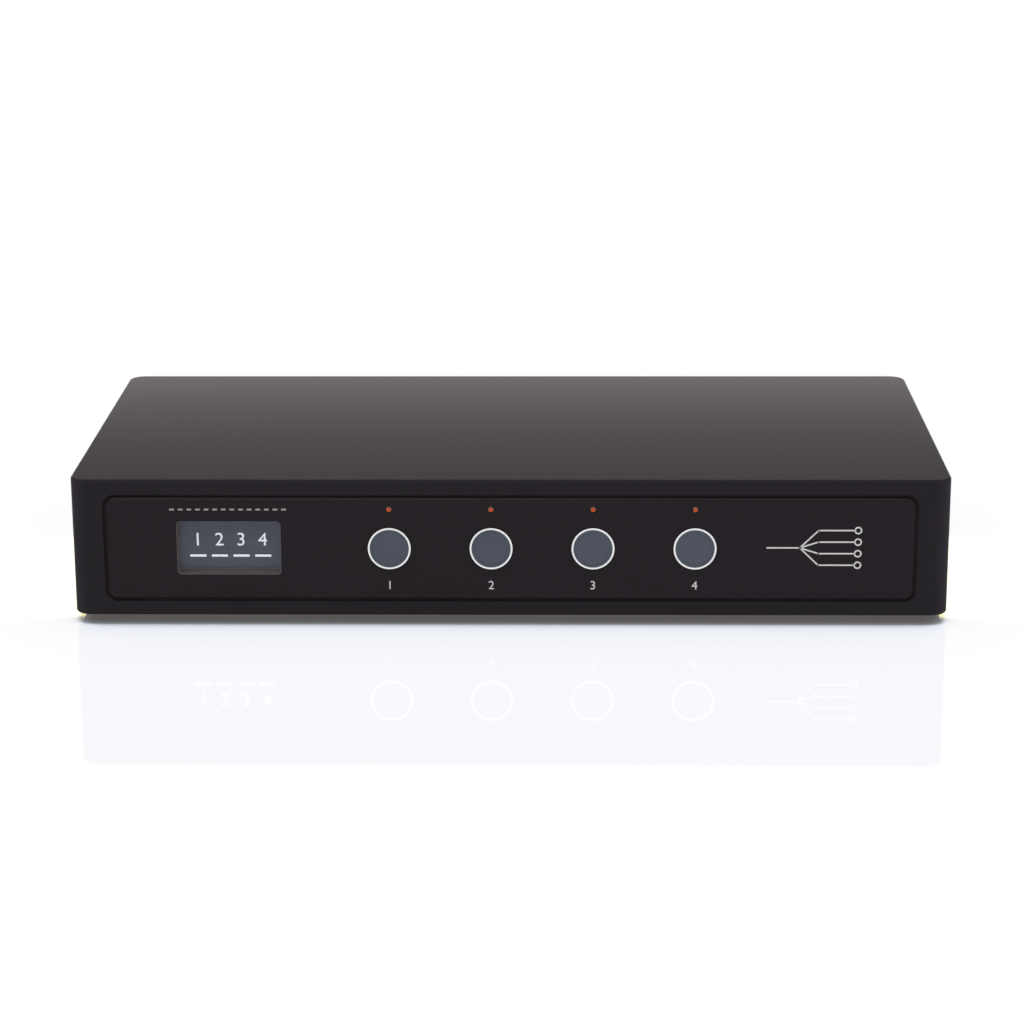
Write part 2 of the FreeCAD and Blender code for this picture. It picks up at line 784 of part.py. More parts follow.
def make_indicator_leds():
    solids = []
    for index in range(4):
        corner = Vector(
            number(f"{BUTTON_X} + {index} * button_pitch - led_width / 2"),
            number("front_board_y - led_thickness"),
            number(f"{LED_Z} - led_height / 2"),
        )
        size = (number("led_width"), number("led_thickness"), number("led_height"))
        solids.append(Part.makeBox(*size, corner))
    return make_group("indicator_leds", solids)


def make_front_board():
    body = new_body("front_board")
    outline = new_sketch(body, "front", "front_board_y")
    draw_box(outline, FRONT_BOARD_LEFT, FRONT_BOARD_LOW, FRONT_BOARD_RIGHT, FRONT_BOARD_HIGH)
    pad(body, outline, "board_thickness")
    holes = new_sketch(body, "front", "front_board_y")
    for x, z in front_post_places():
        draw_circle(holes, x, z, "screw_clear_radius")
    pocket(body, holes, "board_thickness")
    place(body)
    return body


# Screws

def screw_solid(seat, direction, length):
    """A slotted pan-head screw: its head stands on the seat and its shank runs along the direction."""
    head_radius = number("screw_head_radius")
    head_height = number("screw_head_height")
    slot_width = number("screw_slot_width")
    slot_depth = number("screw_slot_depth")
    head = Part.makeCylinder(head_radius, head_height, Vector(0, 0, -head_height), Vector(0, 0, 1))
    top_edge = [edge for edge in head.Edges if edge.BoundBox.ZMax < -head_height / 2]
    head = head.makeChamfer(head_height / 3, top_edge)
    shank_radius = number("screw_shank_radius")
    shank = Part.makeCylinder(shank_radius, length + head_height / 2, Vector(0, 0, -head_height / 2))
    slot = Part.makeBox(
        2 * head_radius, slot_width, slot_depth, Vector(-head_radius, -slot_width / 2, -head_height)
    )
    screw = head.fuse(shank).cut(slot).removeSplitter()
    screw.Placement = FreeCAD.Placement(seat, FreeCAD.Rotation(Vector(0, 0, 1), direction))
    return screw.Solids[0]


def make_base_screws():
    seat_z = number("base_setback + screw_head_height")
    solids = [
        screw_solid(Vector(number(x), number(y), seat_z), Vector(0, 0, 1), number("base_screw_length"))
        for x, y in corner_places()
    ]
    return make_group("base_screws", solids)


def make_main_board_screws():
    length = number("board_thickness + standoff_height - screw_head_gap")
    solids = [
        screw_solid(Vector(number(x), number(y), number(BOARD_TOP)), Vector(0, 0, -1), length)
        for x, y in standoff_places()
    ]
    return make_group("main_board_screws", solids)


def make_front_board_screws():
    length = number("board_thickness + small_screw_length - screw_head_gap")
    solids = [
        screw_solid(Vector(number(x), number(FRONT_BOARD_BACK), number(z)), Vector(0, -1, 0), length)
        for x, z in front_post_places()
    ]
    return make_group("front_board_screws", solids)


# Main board and what stands on it

def make_main_board():
    body = new_body("main_board")
    outline = new_sketch(body, "top", BOARD_LOW)
    draw_box(outline, f"-{MAIN_BOARD_HALF}", "main_board_front", MAIN_BOARD_HALF, BOARD_BACK)
    pad(body, outline, "board_thickness")
    holes = new_sketch(body, "top", BOARD_LOW)
    for x, y in standoff_places():
        draw_circle(holes, x, y, "screw_clear_radius")
    pocket(body, holes, "board_thickness")
    place(body)
    return body


def box_on_board(label, x, y, width, depth, height, chamfer):
    """A moulded block that stands on the main board, centred at X and Y, with its top edges broken."""
    body = new_body(label)
    outline = new_sketch(body, "top")
    draw_box(outline, f"-{width} / 2", f"-{depth} / 2", f"{width} / 2", f"{depth} / 2")
    pad(body, outline, height)
    soften(body, "Chamfer", flat_at("Z", number(height)), chamfer)
    place(body, x, f"{FRONT_Y} + {y}", f"foot_height + {BOARD_TOP}")
    return body


def make_relays():
    return [
        box_on_board(f"relay_{zone + 1}", f"{FIRST_ZONE_X} + {zone} * {ZONE_STEP}", RELAY_Y,
                     "relay_width", "relay_depth", "relay_height", "relay_chamfer")
        for zone in range(4)
    ]


def make_radio_module():
    """The wireless controller: a small board under a metal can, its aerial end left bare."""
    body = new_body("radio_module")
    board = new_sketch(body, "top")
    draw_box(board, "-radio_width / 2", "-radio_depth / 2", "radio_width / 2", "radio_depth / 2")
    pad(body, board, "radio_board_thickness")
    can = new_sketch(body, "top", "radio_board_thickness")
    back = "radio_depth / 2 - radio_can_inset"
    draw_box(can, "-radio_can_width / 2", f"{back} - radio_can_depth", "radio_can_width / 2", back)
    pad(body, can, "radio_can_height")
    place(body, INPUT_X, f"{FRONT_Y} + {RADIO_Y}", f"foot_height + {BOARD_TOP}")
    return body


def make_reservoir_capacitor():
    """A can capacitor with a crimped neck near its foot and a softened top."""
    body = new_body("reservoir_capacitor")
    turn(body, [
        ("0", "0"),
        ("capacitor_radius", "0"),
        ("capacitor_radius", "capacitor_neck_z - capacitor_neck_depth"),
        ("capacitor_radius - capacitor_neck_depth", "capacitor_neck_z"),
        ("capacitor_radius", "capacitor_neck_z + capacitor_neck_depth"),
        ("capacitor_radius", "capacitor_height - capacitor_neck_depth"),
        ("capacitor_radius - capacitor_neck_depth", "capacitor_height"),
        ("0", "capacitor_height"),
    ])
    place(body, INPUT_X, f"{FRONT_Y} + {CAPACITOR_Y}", f"foot_height + {BOARD_TOP}")
    return body


def make_board_link():
    """The connector that joins the two boards: it stands on one and meets the back of the other."""
    body = new_body("board_link")
    block = new_sketch(body, "front", FRONT_BOARD_BACK)
    draw_box(block, "-link_width / 2", BOARD_TOP, "link_width / 2", f"{BOARD_TOP} + link_height")
    pad(body, block, f"main_board_front + link_lap - {FRONT_BOARD_BACK}")
    place(body)
    return body


def make_power_inlet():
    """A flat oval power socket: a thin shell round a tongue."""
    body = new_body("power_inlet")
    front = "case_depth + header_proud / 2 - inlet_depth"
    middle = f"({BOARD_TOP} + inlet_height / 2)"

    def oval(at, inset):
        sketch = new_sketch(body, "front", at)
        draw_rounded_box(
            sketch,
            f"{INLET_X} - inlet_width / 2 + {inset}",
            f"{BOARD_TOP} + {inset}",
            f"{INLET_X} + inlet_width / 2 - {inset}",
            f"{BOARD_TOP} + inlet_height - {inset}",
            f"(inlet_height - inlet_end_flat) / 2 - {inset}",
        )
        return sketch

    pad(body, oval(front, "0"), "inlet_depth")
    mouth = oval(f"{front} + inlet_depth", "inlet_wall")
    pocket(body, mouth, "inlet_depth - inlet_floor", backward=True)
    tongue = new_sketch(body, "front", front)
    draw_box(
        tongue,
        f"{INLET_X} - inlet_tongue_width / 2",
        f"{middle} - inlet_tongue_height / 2",
        f"{INLET_X} + inlet_tongue_width / 2",
        f"{middle} + inlet_tongue_height / 2",
    )
    pad(body, tongue, "inlet_depth - inlet_tongue_setback")
    place(body)
    return body


# Terminals: a header on the board and a pull-off plug with four clamp screws

def pole_x(pole):
    return f"({pole} - 1.5) * terminal_pitch"


def place_terminal(piece, x):
    place(piece, x, f"{FRONT_Y} + {HEADER_FRONT}", f"foot_height + {BOARD_TOP}")


def make_terminal_header(name, x):
    """An open-mouthed header whose four pins stand in a shared cavity."""
    body = new_body(f"terminal_header_{name}")
    block = new_sketch(body, "front")
    draw_box(block, f"-{HEADER_WIDTH} / 2", "0", f"{HEADER_WIDTH} / 2", "header_height")
    pad(body, block, "header_depth")
    cavity = new_sketch(body, "front", "header_depth")
    draw_box(
        cavity,
        f"header_wall - {HEADER_WIDTH} / 2",
        "header_wall",
        f"{HEADER_WIDTH} / 2 - header_wall",
        "header_height - header_wall",
    )
    pocket(body, cavity, "header_depth - header_floor", backward=True)
    pin = new_sketch(body, "front", "header_floor / 2")
    middle = "header_height / 2"
    draw_box(
        pin,
        f"{pole_x(0)} - pin_width / 2",
        f"{middle} - pin_width / 2",
        f"{pole_x(0)} + pin_width / 2",
        f"{middle} + pin_width / 2",
    )
    first = pad(body, pin, "header_depth - header_floor / 2 - pin_setback")
    repeat(body, [first], pin, "H_Axis", "terminal_pitch", 4)
    place_terminal(body, x)
    return body


def make_terminal_plug(name, x):
    """The plug: a nose in the header, a taller block outside, wire mouths behind and screw wells on top."""
    body = new_body(f"terminal_plug_{name}")
    nose_low = "header_wall + plug_fit"
    nose_high = "(header_height - header_wall - plug_fit)"
    seat = "(header_floor + plug_seat_gap)"
    block_front = "(header_depth + plug_seat_gap)"
    block_back = "(header_depth + plug_seat_gap + plug_block_depth)"
    block_high = "(plug_block_height - plug_block_drop)"
    half = f"({PLUG_WIDTH} / 2 - plug_fit)"
    profile = new_sketch(body, "side", f"-{half}")
    draw_polygon(profile, [
        (seat, nose_low),
        (block_front, nose_low),
        (block_front, "-plug_block_drop"),
        (block_back, "-plug_block_drop"),
        (block_back, f"{block_high} - plug_step"),
        (f"{block_back} - plug_step", block_high),
        (block_front, block_high),
        (block_front, nose_high),
        (seat, nose_high),
    ])
    pad(body, profile, f"2 * {half}")
    socket = new_sketch(body, "front", seat)
    socket_half = "(pin_width / 2 + pin_fit)"
    draw_box(
        socket,
        f"{pole_x(0)} - {socket_half}",
        f"header_height / 2 - {socket_half}",
        f"{pole_x(0)} + {socket_half}",
        f"header_height / 2 + {socket_half}",
    )
    pin_hole = pocket(body, socket, f"header_depth - {seat}")
    mouth = new_sketch(body, "front", block_back)
    draw_box(
        mouth,
        f"{pole_x(0)} - plug_wire_width / 2",
        "header_height / 2 - plug_wire_height / 2",
        f"{pole_x(0)} + plug_wire_width / 2",
        "header_height / 2 + plug_wire_height / 2",
    )
    wire_mouth = pocket(body, mouth, "plug_wire_depth", backward=True)
    well = new_sketch(body, "top", block_high)
    well_y = f"{block_front} + (plug_block_depth - plug_step) / 2"
    draw_circle(well, pole_x(0), well_y, "plug_well_radius")
    screw_well = pocket(body, well, "plug_well_depth", backward=True)
    repeat(body, [pin_hole, wire_mouth, screw_well], socket, "H_Axis", "terminal_pitch", 4)
    place_terminal(body, x)
    return body


def make_clamp_screws(name, x):
    """Four slotted clamp screws, each standing on the floor of its well."""
    radius = number("clamp_screw_radius")
    height = number("clamp_screw_height")
    floor = number("plug_block_height - plug_block_drop - plug_well_depth")
    well_y = number("header_depth + plug_seat_gap + (plug_block_depth - plug_step) / 2")
    slot_width = number("screw_slot_width")
    slot_depth = number("screw_slot_depth")
    solids = []
    for pole in range(4):
        foot = Vector(number(pole_x(pole)), well_y, floor)
        rod = Part.makeCylinder(radius, height, foot)
        slot = Part.makeBox(2 * radius, slot_width, slot_depth)
        slot.translate(foot + Vector(-radius, -slot_width / 2, height - slot_depth))
        solids.append(rod.cut(slot))
    piece = DOC.addObject("Part::Feature", f"clamp_screws_{name}")
    piece.Label = f"clamp_screws_{name}"
    piece.Shape = Part.makeCompound(solids)
    place_terminal(piece, x)
    return piece


def make_everything():
    pieces = [make_case_shell(), make_base_plate(), make_base_screws()]
    pieces += make_feet()
    pieces += [make_front_fascia(), make_rear_panel()]
    pieces += [make_display_window(), make_display_panel(), make_display_holder()]
    for index in range(4):
        pieces += [make_button_ring(index), make_button_cap(index), make_switch_plunger(index)]
        pieces += [make_tact_switch(index), make_light_pipe(index)]
    pieces += [make_indicator_leds(), make_front_board(), make_front_board_screws()]
    pieces += [make_main_board(), make_main_board_screws()]
    pieces += make_relays()
    pieces += [make_radio_module(), make_reservoir_capacitor(), make_board_link(), make_power_inlet()]
    for name, x in terminal_places():
        pieces += [make_terminal_header(name, x), make_terminal_plug(name, x), make_clamp_screws(name, x)]
    return pieces


def check(pieces):
    """Stop if any object of the document failed or any piece has no valid shape."""
    DOC.recompute()
    for thing in DOC.Objects:
        if "Invalid" in thing.State or "Error" in thing.State:
            raise RuntimeError(f"{thing.Name} failed: {thing.State}")
    for piece in pieces:
        if piece.Shape.isNull() or not piece.Shape.isValid() or not piece.Shape.Solids:
            raise RuntimeError(f"{piece.Label} has no valid solid")


def main():
    fill_sheet()
    pieces = make_everything()
    check(pieces)
    os.makedirs("parts", exist_ok=True)
    for piece in pieces:
        piece.Shape.exportStep(f"parts/{piece.Label}.step")
    print(f"{len(pieces)} pieces written")


main()
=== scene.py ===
import json
import math

import bmesh
import bpy
from mathutils import Matrix, Vector


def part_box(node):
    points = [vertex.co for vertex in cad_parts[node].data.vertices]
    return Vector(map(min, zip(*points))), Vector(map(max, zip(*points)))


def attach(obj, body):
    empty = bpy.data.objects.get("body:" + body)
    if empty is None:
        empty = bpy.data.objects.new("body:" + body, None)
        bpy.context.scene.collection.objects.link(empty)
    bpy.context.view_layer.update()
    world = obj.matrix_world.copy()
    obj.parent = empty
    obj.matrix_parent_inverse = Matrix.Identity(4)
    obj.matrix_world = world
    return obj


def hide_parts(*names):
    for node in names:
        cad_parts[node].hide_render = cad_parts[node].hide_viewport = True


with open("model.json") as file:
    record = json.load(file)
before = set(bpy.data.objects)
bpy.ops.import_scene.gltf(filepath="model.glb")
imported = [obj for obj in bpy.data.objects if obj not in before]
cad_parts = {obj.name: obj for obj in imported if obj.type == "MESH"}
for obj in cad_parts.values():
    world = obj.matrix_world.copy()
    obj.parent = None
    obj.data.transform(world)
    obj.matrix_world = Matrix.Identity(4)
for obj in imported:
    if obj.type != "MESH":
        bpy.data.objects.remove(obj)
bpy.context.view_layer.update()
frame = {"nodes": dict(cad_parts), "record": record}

bl_info = {
    "name": "Speaker selector switch",
    "version": (1, 0, 0),
    "blender": (4, 5, 0),
    "location": "3D View > Sidebar > Selector",
    "description": "Finishes for a four-zone speaker selector switch and the stage it stands on",
    "category": "Object",
}

MM = 0.001
BODY = "cabinet"
ZONES = (1, 2, 3, 4)
TERMINALS = ("1", "2", "3", "4", "input")
FEET = ("foot_front_left", "foot_front_right", "foot_rear_left", "foot_rear_right")


def centre_of(node):
    low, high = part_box(node)
    return (Vector(low) + Vector(high)) / 2


def low_of(node):
    return Vector(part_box(node)[0])


def high_of(node):
    return Vector(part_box(node)[1])


FASCIA_Y = low_of("front_fascia").y
REAR_Y = high_of("rear_panel").y
CASE_LOW = low_of("case_shell")

# Sizes that the CAD's sheet sets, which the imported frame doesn't tell
PANEL_GAP = 0.6 * MM
PANEL_CORNER = 2.0 * MM
PANEL_DEPTH = 1.95 * MM
WINDOW_SIZE = (22.6 * MM, 12.1 * MM)
WINDOW_CORNER = 0.9 * MM
TERMINAL_PITCH = 5.08 * MM
POLES = 4

# Cleaning of the CAD meshes before they are dressed
MERGE_DISTANCE = 1e-7
FLAT_ANGLE = math.radians(0.6)

EDGE_SEGMENTS = 2
CORNER_STEPS = 8

# Scales of the noise in the finishes, per metre
DRIFT_SCALE = 28.0
PATCH_SCALE = 95.0
SPECK_SCALE = 2600.0
WIPE_SCALE = 160.0
WEAVE_SCALE = 900.0
POUR_SCALE = 140.0


# Sizes and colours that a user would change

def length(name, text, value, **more):
    return bpy.props.FloatProperty(
        name=name, description=text, default=value, subtype="DISTANCE", unit="LENGTH", precision=5, **more
    )


def colour(name, text, value):
    return bpy.props.FloatVectorProperty(
        name=name, description=text, default=value, subtype="COLOR", size=3, min=0.0, max=1.0
    )


class SelectorSizes(bpy.types.PropertyGroup):
    edge: length("Edge break", "Width of the softened edges of moulded pieces", 0.15 * MM)
    print_height: length("Print height", "How far printed ink stands off its surface", 0.02 * MM)
    digit: length("Digit height", "Height of the plain numbers under the buttons", 1.95 * MM)
    digit_drop: length("Digit drop", "Middle of the numbers below the middle of the buttons", 8.25 * MM)
    tick_width: length("Tick width", "Width of one mark in the row over the display", 1.0 * MM)
    tick_step: length("Tick step", "Distance between marks in the row over the display", 1.86 * MM)
    screen_width: length("Screen width", "Width of the lit area of the display", 21.7 * MM)
    screen_height: length("Screen height", "Height of the lit area of the display", 10.9 * MM)
    ring_face: length("Ring face", "Bright width of a button ring outside its lip", 0.38 * MM)
    lip: length("Button lip", "Width of the lip that covers the gap round a button cap", 0.50 * MM)
    # The dark ring round each button ring is painted shade, the shadow of the gap round it.
    seat: length("Ring seat", "Width of the dark seat round a button ring", 0.18 * MM)
    # The dark sheet in the gap round a panel is painted shade; this is how far it lies behind the panel's
    # face.
    seal_depth: length("Seal depth", "How far the seal round a panel lies behind its face", 0.8 * MM)
    # The window's pale rim is a painted highlight: the light caught on the edge of its pane.
    rim: length("Window rim", "Width of the pale rim of the window", 0.16 * MM)
    line: length("Line width", "Width of the lines of the routing mark", 0.32 * MM)


class SelectorColours(bpy.types.PropertyGroup):
    case: colour("Case", "Moulded case", (0.0212, 0.0192, 0.0238))
    fascia: colour("Fascia", "Front and rear panels", (0.0147, 0.0121, 0.0165))
    button: colour("Buttons", "Button caps", (0.0630, 0.0755, 0.104))
    ring: colour("Rings", "Button rings", (0.90, 0.94, 1.0))
    lamp: colour("Lamps", "Lit lamps", (0.35, 0.052, 0.010))
    screen: colour("Screen", "Lit area of the display", (0.072, 0.080, 0.108))
    # The display glass's edge: its own brown-grey, made paler to paint light where the window shades it.
    screen_edge: colour("Screen edge", "Unlit edge of the display glass", (0.20, 0.175, 0.18))
    # Painted shade: the colour of a dark sheet standing in the gaps round the panels and the button rings.
    seal: colour("Seal", "Soft seal in the gap round a panel", (0.020, 0.016, 0.020))
    ink: colour("Ink", "Bright print", (0.60, 0.61, 0.64))
    dim_ink: colour("Dim ink", "Greyer print", (0.33, 0.32, 0.33))
    terminal: colour("Terminals", "Moulded speaker terminals", (0.020, 0.17, 0.065))


def sizes():
    return bpy.context.scene.selector_sizes


def colours():
    return bpy.context.scene.selector_colours


# Materials

class Finish:
    """A node material under construction, with short calls for its nodes and links."""

    def __init__(self, name):
        self.material = bpy.data.materials.new(name)
        self.material.use_nodes = True
        self.tree = self.material.node_tree
        self.shader = self.tree.nodes["Principled BSDF"]

    def node(self, kind, **settings):
        made = self.tree.nodes.new(kind)
        for key, value in settings.items():
            setattr(made, key, value)
        return made

    def link(self, source, target):
        self.tree.links.new(source, target)

    def set(self, **values):
        for key, value in values.items():
            self.shader.inputs[key.replace("_", " ")].default_value = value

    def place(self):
        return self.node("ShaderNodeTexCoord").outputs["Object"]

    def noise(self, scale, detail=2.0, rough=0.5):
        made = self.node("ShaderNodeTexNoise")
        made.inputs["Scale"].default_value = scale
        made.inputs["Detail"].default_value = detail
        made.inputs["Roughness"].default_value = rough
        self.link(self.place(), made.inputs["Vector"])
        return made.outputs["Fac"]

    def spread(self, source, low, high, start=0.3, end=0.7):
        made = self.node("ShaderNodeMapRange")
        made.inputs["From Min"].default_value = start
        made.inputs["From Max"].default_value = end
        made.inputs["To Min"].default_value = low
        made.inputs["To Max"].default_value = high
        self.link(source, made.inputs["Value"])
        return made.outputs["Result"]

    def tint(self, source, first, second):
        made = self.node("ShaderNodeMix", data_type="RGBA")
        made.inputs["A"].default_value = (*first, 1)
        made.inputs["B"].default_value = (*second, 1)
        self.link(source, made.inputs["Factor"])
        return made.outputs["Result"]

    def bump(self, source, distance, strength=1.0):
        made = self.node("ShaderNodeBump")
        made.inputs["Strength"].default_value = strength
        made.inputs["Distance"].default_value = distance
        self.link(source, made.inputs["Height"])
        self.link(made.outputs["Normal"], self.shader.inputs["Normal"])


def shade(rgb, factor):
    return tuple(min(1.0, channel * factor) for channel in rgb)


def moulded(name, rgb, roughness, grain, depth, gloss=0.35, drift=0.12, patch=0.04, sheen=0.0):
    """Moulded plastic: a fine spark-eroded grain, a slow drift of tone and patches of uneven sheen."""
    finish = Finish(name)
    finish.set(Specular_IOR_Level=gloss, Sheen_Weight=sheen, Sheen_Roughness=0.35)
    slow = finish.spread(finish.noise(DRIFT_SCALE, 3.0), 0.0, 1.0)
    tone = finish.tint(slow, shade(rgb, 1 - drift), shade(rgb, 1 + drift))
    finish.link(tone, finish.shader.inputs["Base Color"])
    low, high = roughness - patch, roughness + patch
    patches = finish.spread(finish.noise(PATCH_SCALE, 2.0), low, high, 0.0, 1.0)
    finish.link(patches, finish.shader.inputs["Roughness"])
    finish.bump(finish.noise(grain, 3.0, 0.65), depth, 0.5)
    return finish.material


def brushed(name, rgb, roughness, stretch=(30.0, 900.0, 900.0), metallic=1.0):
    """Metal with a fine grain drawn out one way."""
    finish = Finish(name)
    finish.set(Metallic=metallic)
    mapping = finish.node("ShaderNodeMapping")
    mapping.inputs["Scale"].default_value = stretch
    finish.link(finish.place(), mapping.inputs["Vector"])
    grain = finish.node("ShaderNodeTexNoise")
    grain.inputs["Scale"].default_value = 4.0
    grain.inputs["Detail"].default_value = 3.0
    finish.link(mapping.outputs["Vector"], grain.inputs["Vector"])
    fac = grain.outputs["Fac"]
    finish.link(finish.tint(fac, shade(rgb, 0.86), shade(rgb, 1.08)), finish.shader.inputs["Base Color"])
    finish.link(finish.spread(fac, roughness - 0.06, roughness + 0.08), finish.shader.inputs["Roughness"])
    finish.bump(fac, 0.004 * MM, 0.4)
    return finish.material


def lit(name, rgb, strength):
    """A glowing plastic: the colour deepens and brightens in fine specks, as a diffuser does."""
    finish = Finish(name)
    finish.set(Roughness=0.35, Specular_IOR_Level=0.2)
    specks = finish.spread(finish.noise(SPECK_SCALE, 2.0, 0.6), 0.0, 1.0)
    glow = finish.tint(specks, shade(rgb, 0.85), shade(rgb, 1.12))
    finish.link(glow, finish.shader.inputs["Base Color"])
    finish.link(glow, finish.shader.inputs["Emission Color"])
    finish.set(Emission_Strength=strength)
    return finish.material


def clear_lens(name):
    """A clear glossy window that lets the display show through, with faint wipe marks in its gloss."""
    finish = Finish(name)
    finish.set(Specular_IOR_Level=0.5, Alpha=0.10)
    finish.shader.inputs["Base Color"].default_value = (0.02, 0.02, 0.024, 1)
    wipes = finish.spread(finish.noise(WIPE_SCALE, 3.0), 0.03, 0.10)
    finish.link(wipes, finish.shader.inputs["Roughness"])
    return finish.material


def laminate(name):
    """Green circuit laminate: a faint woven ground under the gloss of the mask, with copper pour shading."""
    finish = Finish(name)
    finish.set(Roughness=0.32, Specular_IOR_Level=0.5)
    weave = finish.node("ShaderNodeTexWave", bands_direction="DIAGONAL")
    weave.inputs["Scale"].default_value = WEAVE_SCALE
    finish.link(finish.place(), weave.inputs["Vector"])
    pour = finish.node("ShaderNodeTexVoronoi", distance="CHEBYCHEV")
    pour.inputs["Scale"].default_value = POUR_SCALE
    finish.link(finish.place(), pour.inputs["Vector"])
    tone = finish.spread(pour.outputs["Distance"], 0.0, 1.0, 0.1, 0.5)
    green = finish.tint(tone, (0.010, 0.085, 0.035), (0.018, 0.150, 0.060))
    finish.link(green, finish.shader.inputs["Base Color"])
    finish.bump(weave.outputs["Fac"], 0.01 * MM, 0.3)
    return finish.material


def make_finishes():
    """Every finish of the product, by name. Moulded ones: colour, roughness, grain scale, grain depth."""
    c = colours()
    across_front = (900.0, 60.0, 900.0)
    return {
        "case": moulded(
            "case_satin", tuple(c.case), 0.27, 2600.0, 0.002 * MM,
            gloss=0.0034, drift=0.03, patch=0.006, sheen=0.012,
        ),
        "fascia": moulded(
            "fascia_satin", tuple(c.fascia), 0.40, 3400.0, 0.006 * MM, gloss=0.08, drift=0.04, patch=0.01,
        ),
        "base": moulded("base_matt", (0.016, 0.015, 0.016), 0.55, 1800.0, 0.02 * MM),
        "button": moulded("button_satin", tuple(c.button), 0.46, 2200.0, 0.012 * MM, gloss=0.30, drift=0.06),
        "ring": brushed("ring_bright", tuple(c.ring), 0.42, across_front, metallic=0.35),
        "lamp": lit("lamp_glow", tuple(c.lamp), 0.25),
        "pipe": moulded(
            "pipe_smoked", (0.060, 0.052, 0.045), 0.30, 3000.0, 0.004 * MM, gloss=0.4, drift=0.06,
        ),
        "screen": lit("screen_glow", tuple(c.screen), 0.40),
        "screen_mark": lit("screen_mark_glow", (0.62, 0.66, 0.72), 0.9),
        # The display edge's own brown-grey, made paler as painted light against the window's shade.
        "screen_edge": moulded(
            "screen_edge_and_painted_light_satin", tuple(c.screen_edge), 0.35, 3000.0, 0.004 * MM, gloss=0.4, drift=0.06,
        ),
        "lens": clear_lens("lens_clear"),
        # Painted highlight: a pale grey for the rim that stands in for light on the window's edge.
        "rim": moulded("painted_rim_highlight_grey", (0.085, 0.088, 0.108), 0.35, 3000.0, 0.004 * MM, gloss=0.3, drift=0.05),
        # Painted light: pale walls behind the window's pane that lift the shade there.
        "painted_light_throat": moulded(
            "painted_light_throat_grey", (0.115, 0.097, 0.100), 0.45, 3000.0, 0.004 * MM, gloss=0.3, drift=0.05,
        ),
        # Painted shade: the dark sheet in the gaps round the panels and the button rings.
        "seal": moulded("painted_gap_shade_matt", tuple(c.seal), 0.85, 1500.0, 0.03 * MM, gloss=0.2, drift=0.15),
        # Painted shade: a dark copy of the ring's metal for its side walls, standing in for the shadow round
        # the ring.
        "ring_painted_shade": brushed("ring_shaded", (0.05, 0.05, 0.055), 0.5, across_front, metallic=0.3),
        "ink": moulded("ink_bright", tuple(c.ink), 0.60, 5000.0, 0.004 * MM, gloss=0.3, drift=0.05),
        "dim_ink": moulded("ink_dim", tuple(c.dim_ink), 0.60, 5000.0, 0.004 * MM, gloss=0.3, drift=0.05),
        "terminal": moulded(
            "terminal_green", tuple(c.terminal), 0.40, 1600.0, 0.02 * MM, gloss=0.45, drift=0.10,
        ),
        "steel": brushed("screw_zinc", (0.56, 0.56, 0.55), 0.34, (400.0, 400.0, 400.0)),
        "brass": brushed("clamp_tinned", (0.62, 0.58, 0.50), 0.36),
        "inlet": brushed("inlet_stamped", (0.60, 0.60, 0.62), 0.28),
        "rubber": moulded("foot_rubber", (0.012, 0.012, 0.012), 0.78, 900.0, 0.05 * MM, gloss=0.25),
        "black": moulded("moulded_black", (0.014, 0.014, 0.015), 0.50, 1500.0, 0.02 * MM),
        "relay": moulded("relay_pale", (0.68, 0.67, 0.62), 0.38, 1400.0, 0.02 * MM, gloss=0.45),
        "board": laminate("board_laminate"),
        "can": brushed("can_drawn", (0.66, 0.66, 0.67), 0.32),
        "chip": lit("chip_glow", (0.80, 0.30, 0.08), 0.6),
    }


FINISH = {}


# Meshes

def new_object(name, mesh, finish, body=BODY):
    piece = bpy.data.objects.new(name, mesh)
    bpy.context.scene.collection.objects.link(piece)
    mesh.materials.clear()
    mesh.materials.append(FINISH[finish])
    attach(piece, body)
    return piece


def smooth_by_angle(mesh, degrees=30.0):
    mesh.polygons.foreach_set("use_smooth", [True] * len(mesh.polygons))
    mesh.set_sharp_from_angle(angle=math.radians(degrees))


def add_bevel(piece, width, degrees=35.0):
    """Soften the edges that turn by more than an angle."""
    bevel = piece.modifiers.new("Edge break", "BEVEL")
    bevel.width = width
    bevel.segments = EDGE_SEGMENTS
    bevel.limit_method = "ANGLE"
    bevel.angle_limit = math.radians(degrees)
    bevel.use_clamp_overlap = True
    bevel.harden_normals = True


def true_flats(piece):
    """Keep flat faces flat: the largest face at each corner sets its shading."""
    level = piece.modifiers.new("Flat faces", "WEIGHTED_NORMAL")
    level.mode = "FACE_AREA"
    level.weight = 100
    level.keep_sharp = True


def body_of_node(node):
    for name, nodes in frame["record"]["behaviour"]["bodies"].items():
        if node in nodes:
            return name
    raise RuntimeError(f"no body holds {node}")


def dress(node, finish, edge=None):
    """A copy of a CAD piece with its flat faces joined up and a finish, and soft edges if edge is given."""
    form = bmesh.new()
    form.from_mesh(frame["nodes"][node].data)
    bmesh.ops.remove_doubles(form, verts=form.verts, dist=MERGE_DISTANCE)
    bmesh.ops.dissolve_limit(
        form, angle_limit=FLAT_ANGLE, verts=form.verts, edges=form.edges, use_dissolve_boundaries=False
    )
    mesh = bpy.data.meshes.new(f"{node}_finished")
    form.to_mesh(mesh)
    form.free()
    smooth_by_angle(mesh)
    piece = new_object(f"{node}_finished", mesh, finish, body_of_node(node))
    if edge:
        add_bevel(piece, edge)
    else:
        true_flats(piece)
    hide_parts(node)
    return piece


def paint(node, finish):
    """A finish on a CAD piece whose own mesh stays."""
    thing = frame["nodes"][node]
    thing.data.materials.clear()
    thing.data.materials.append(FINISH[finish])


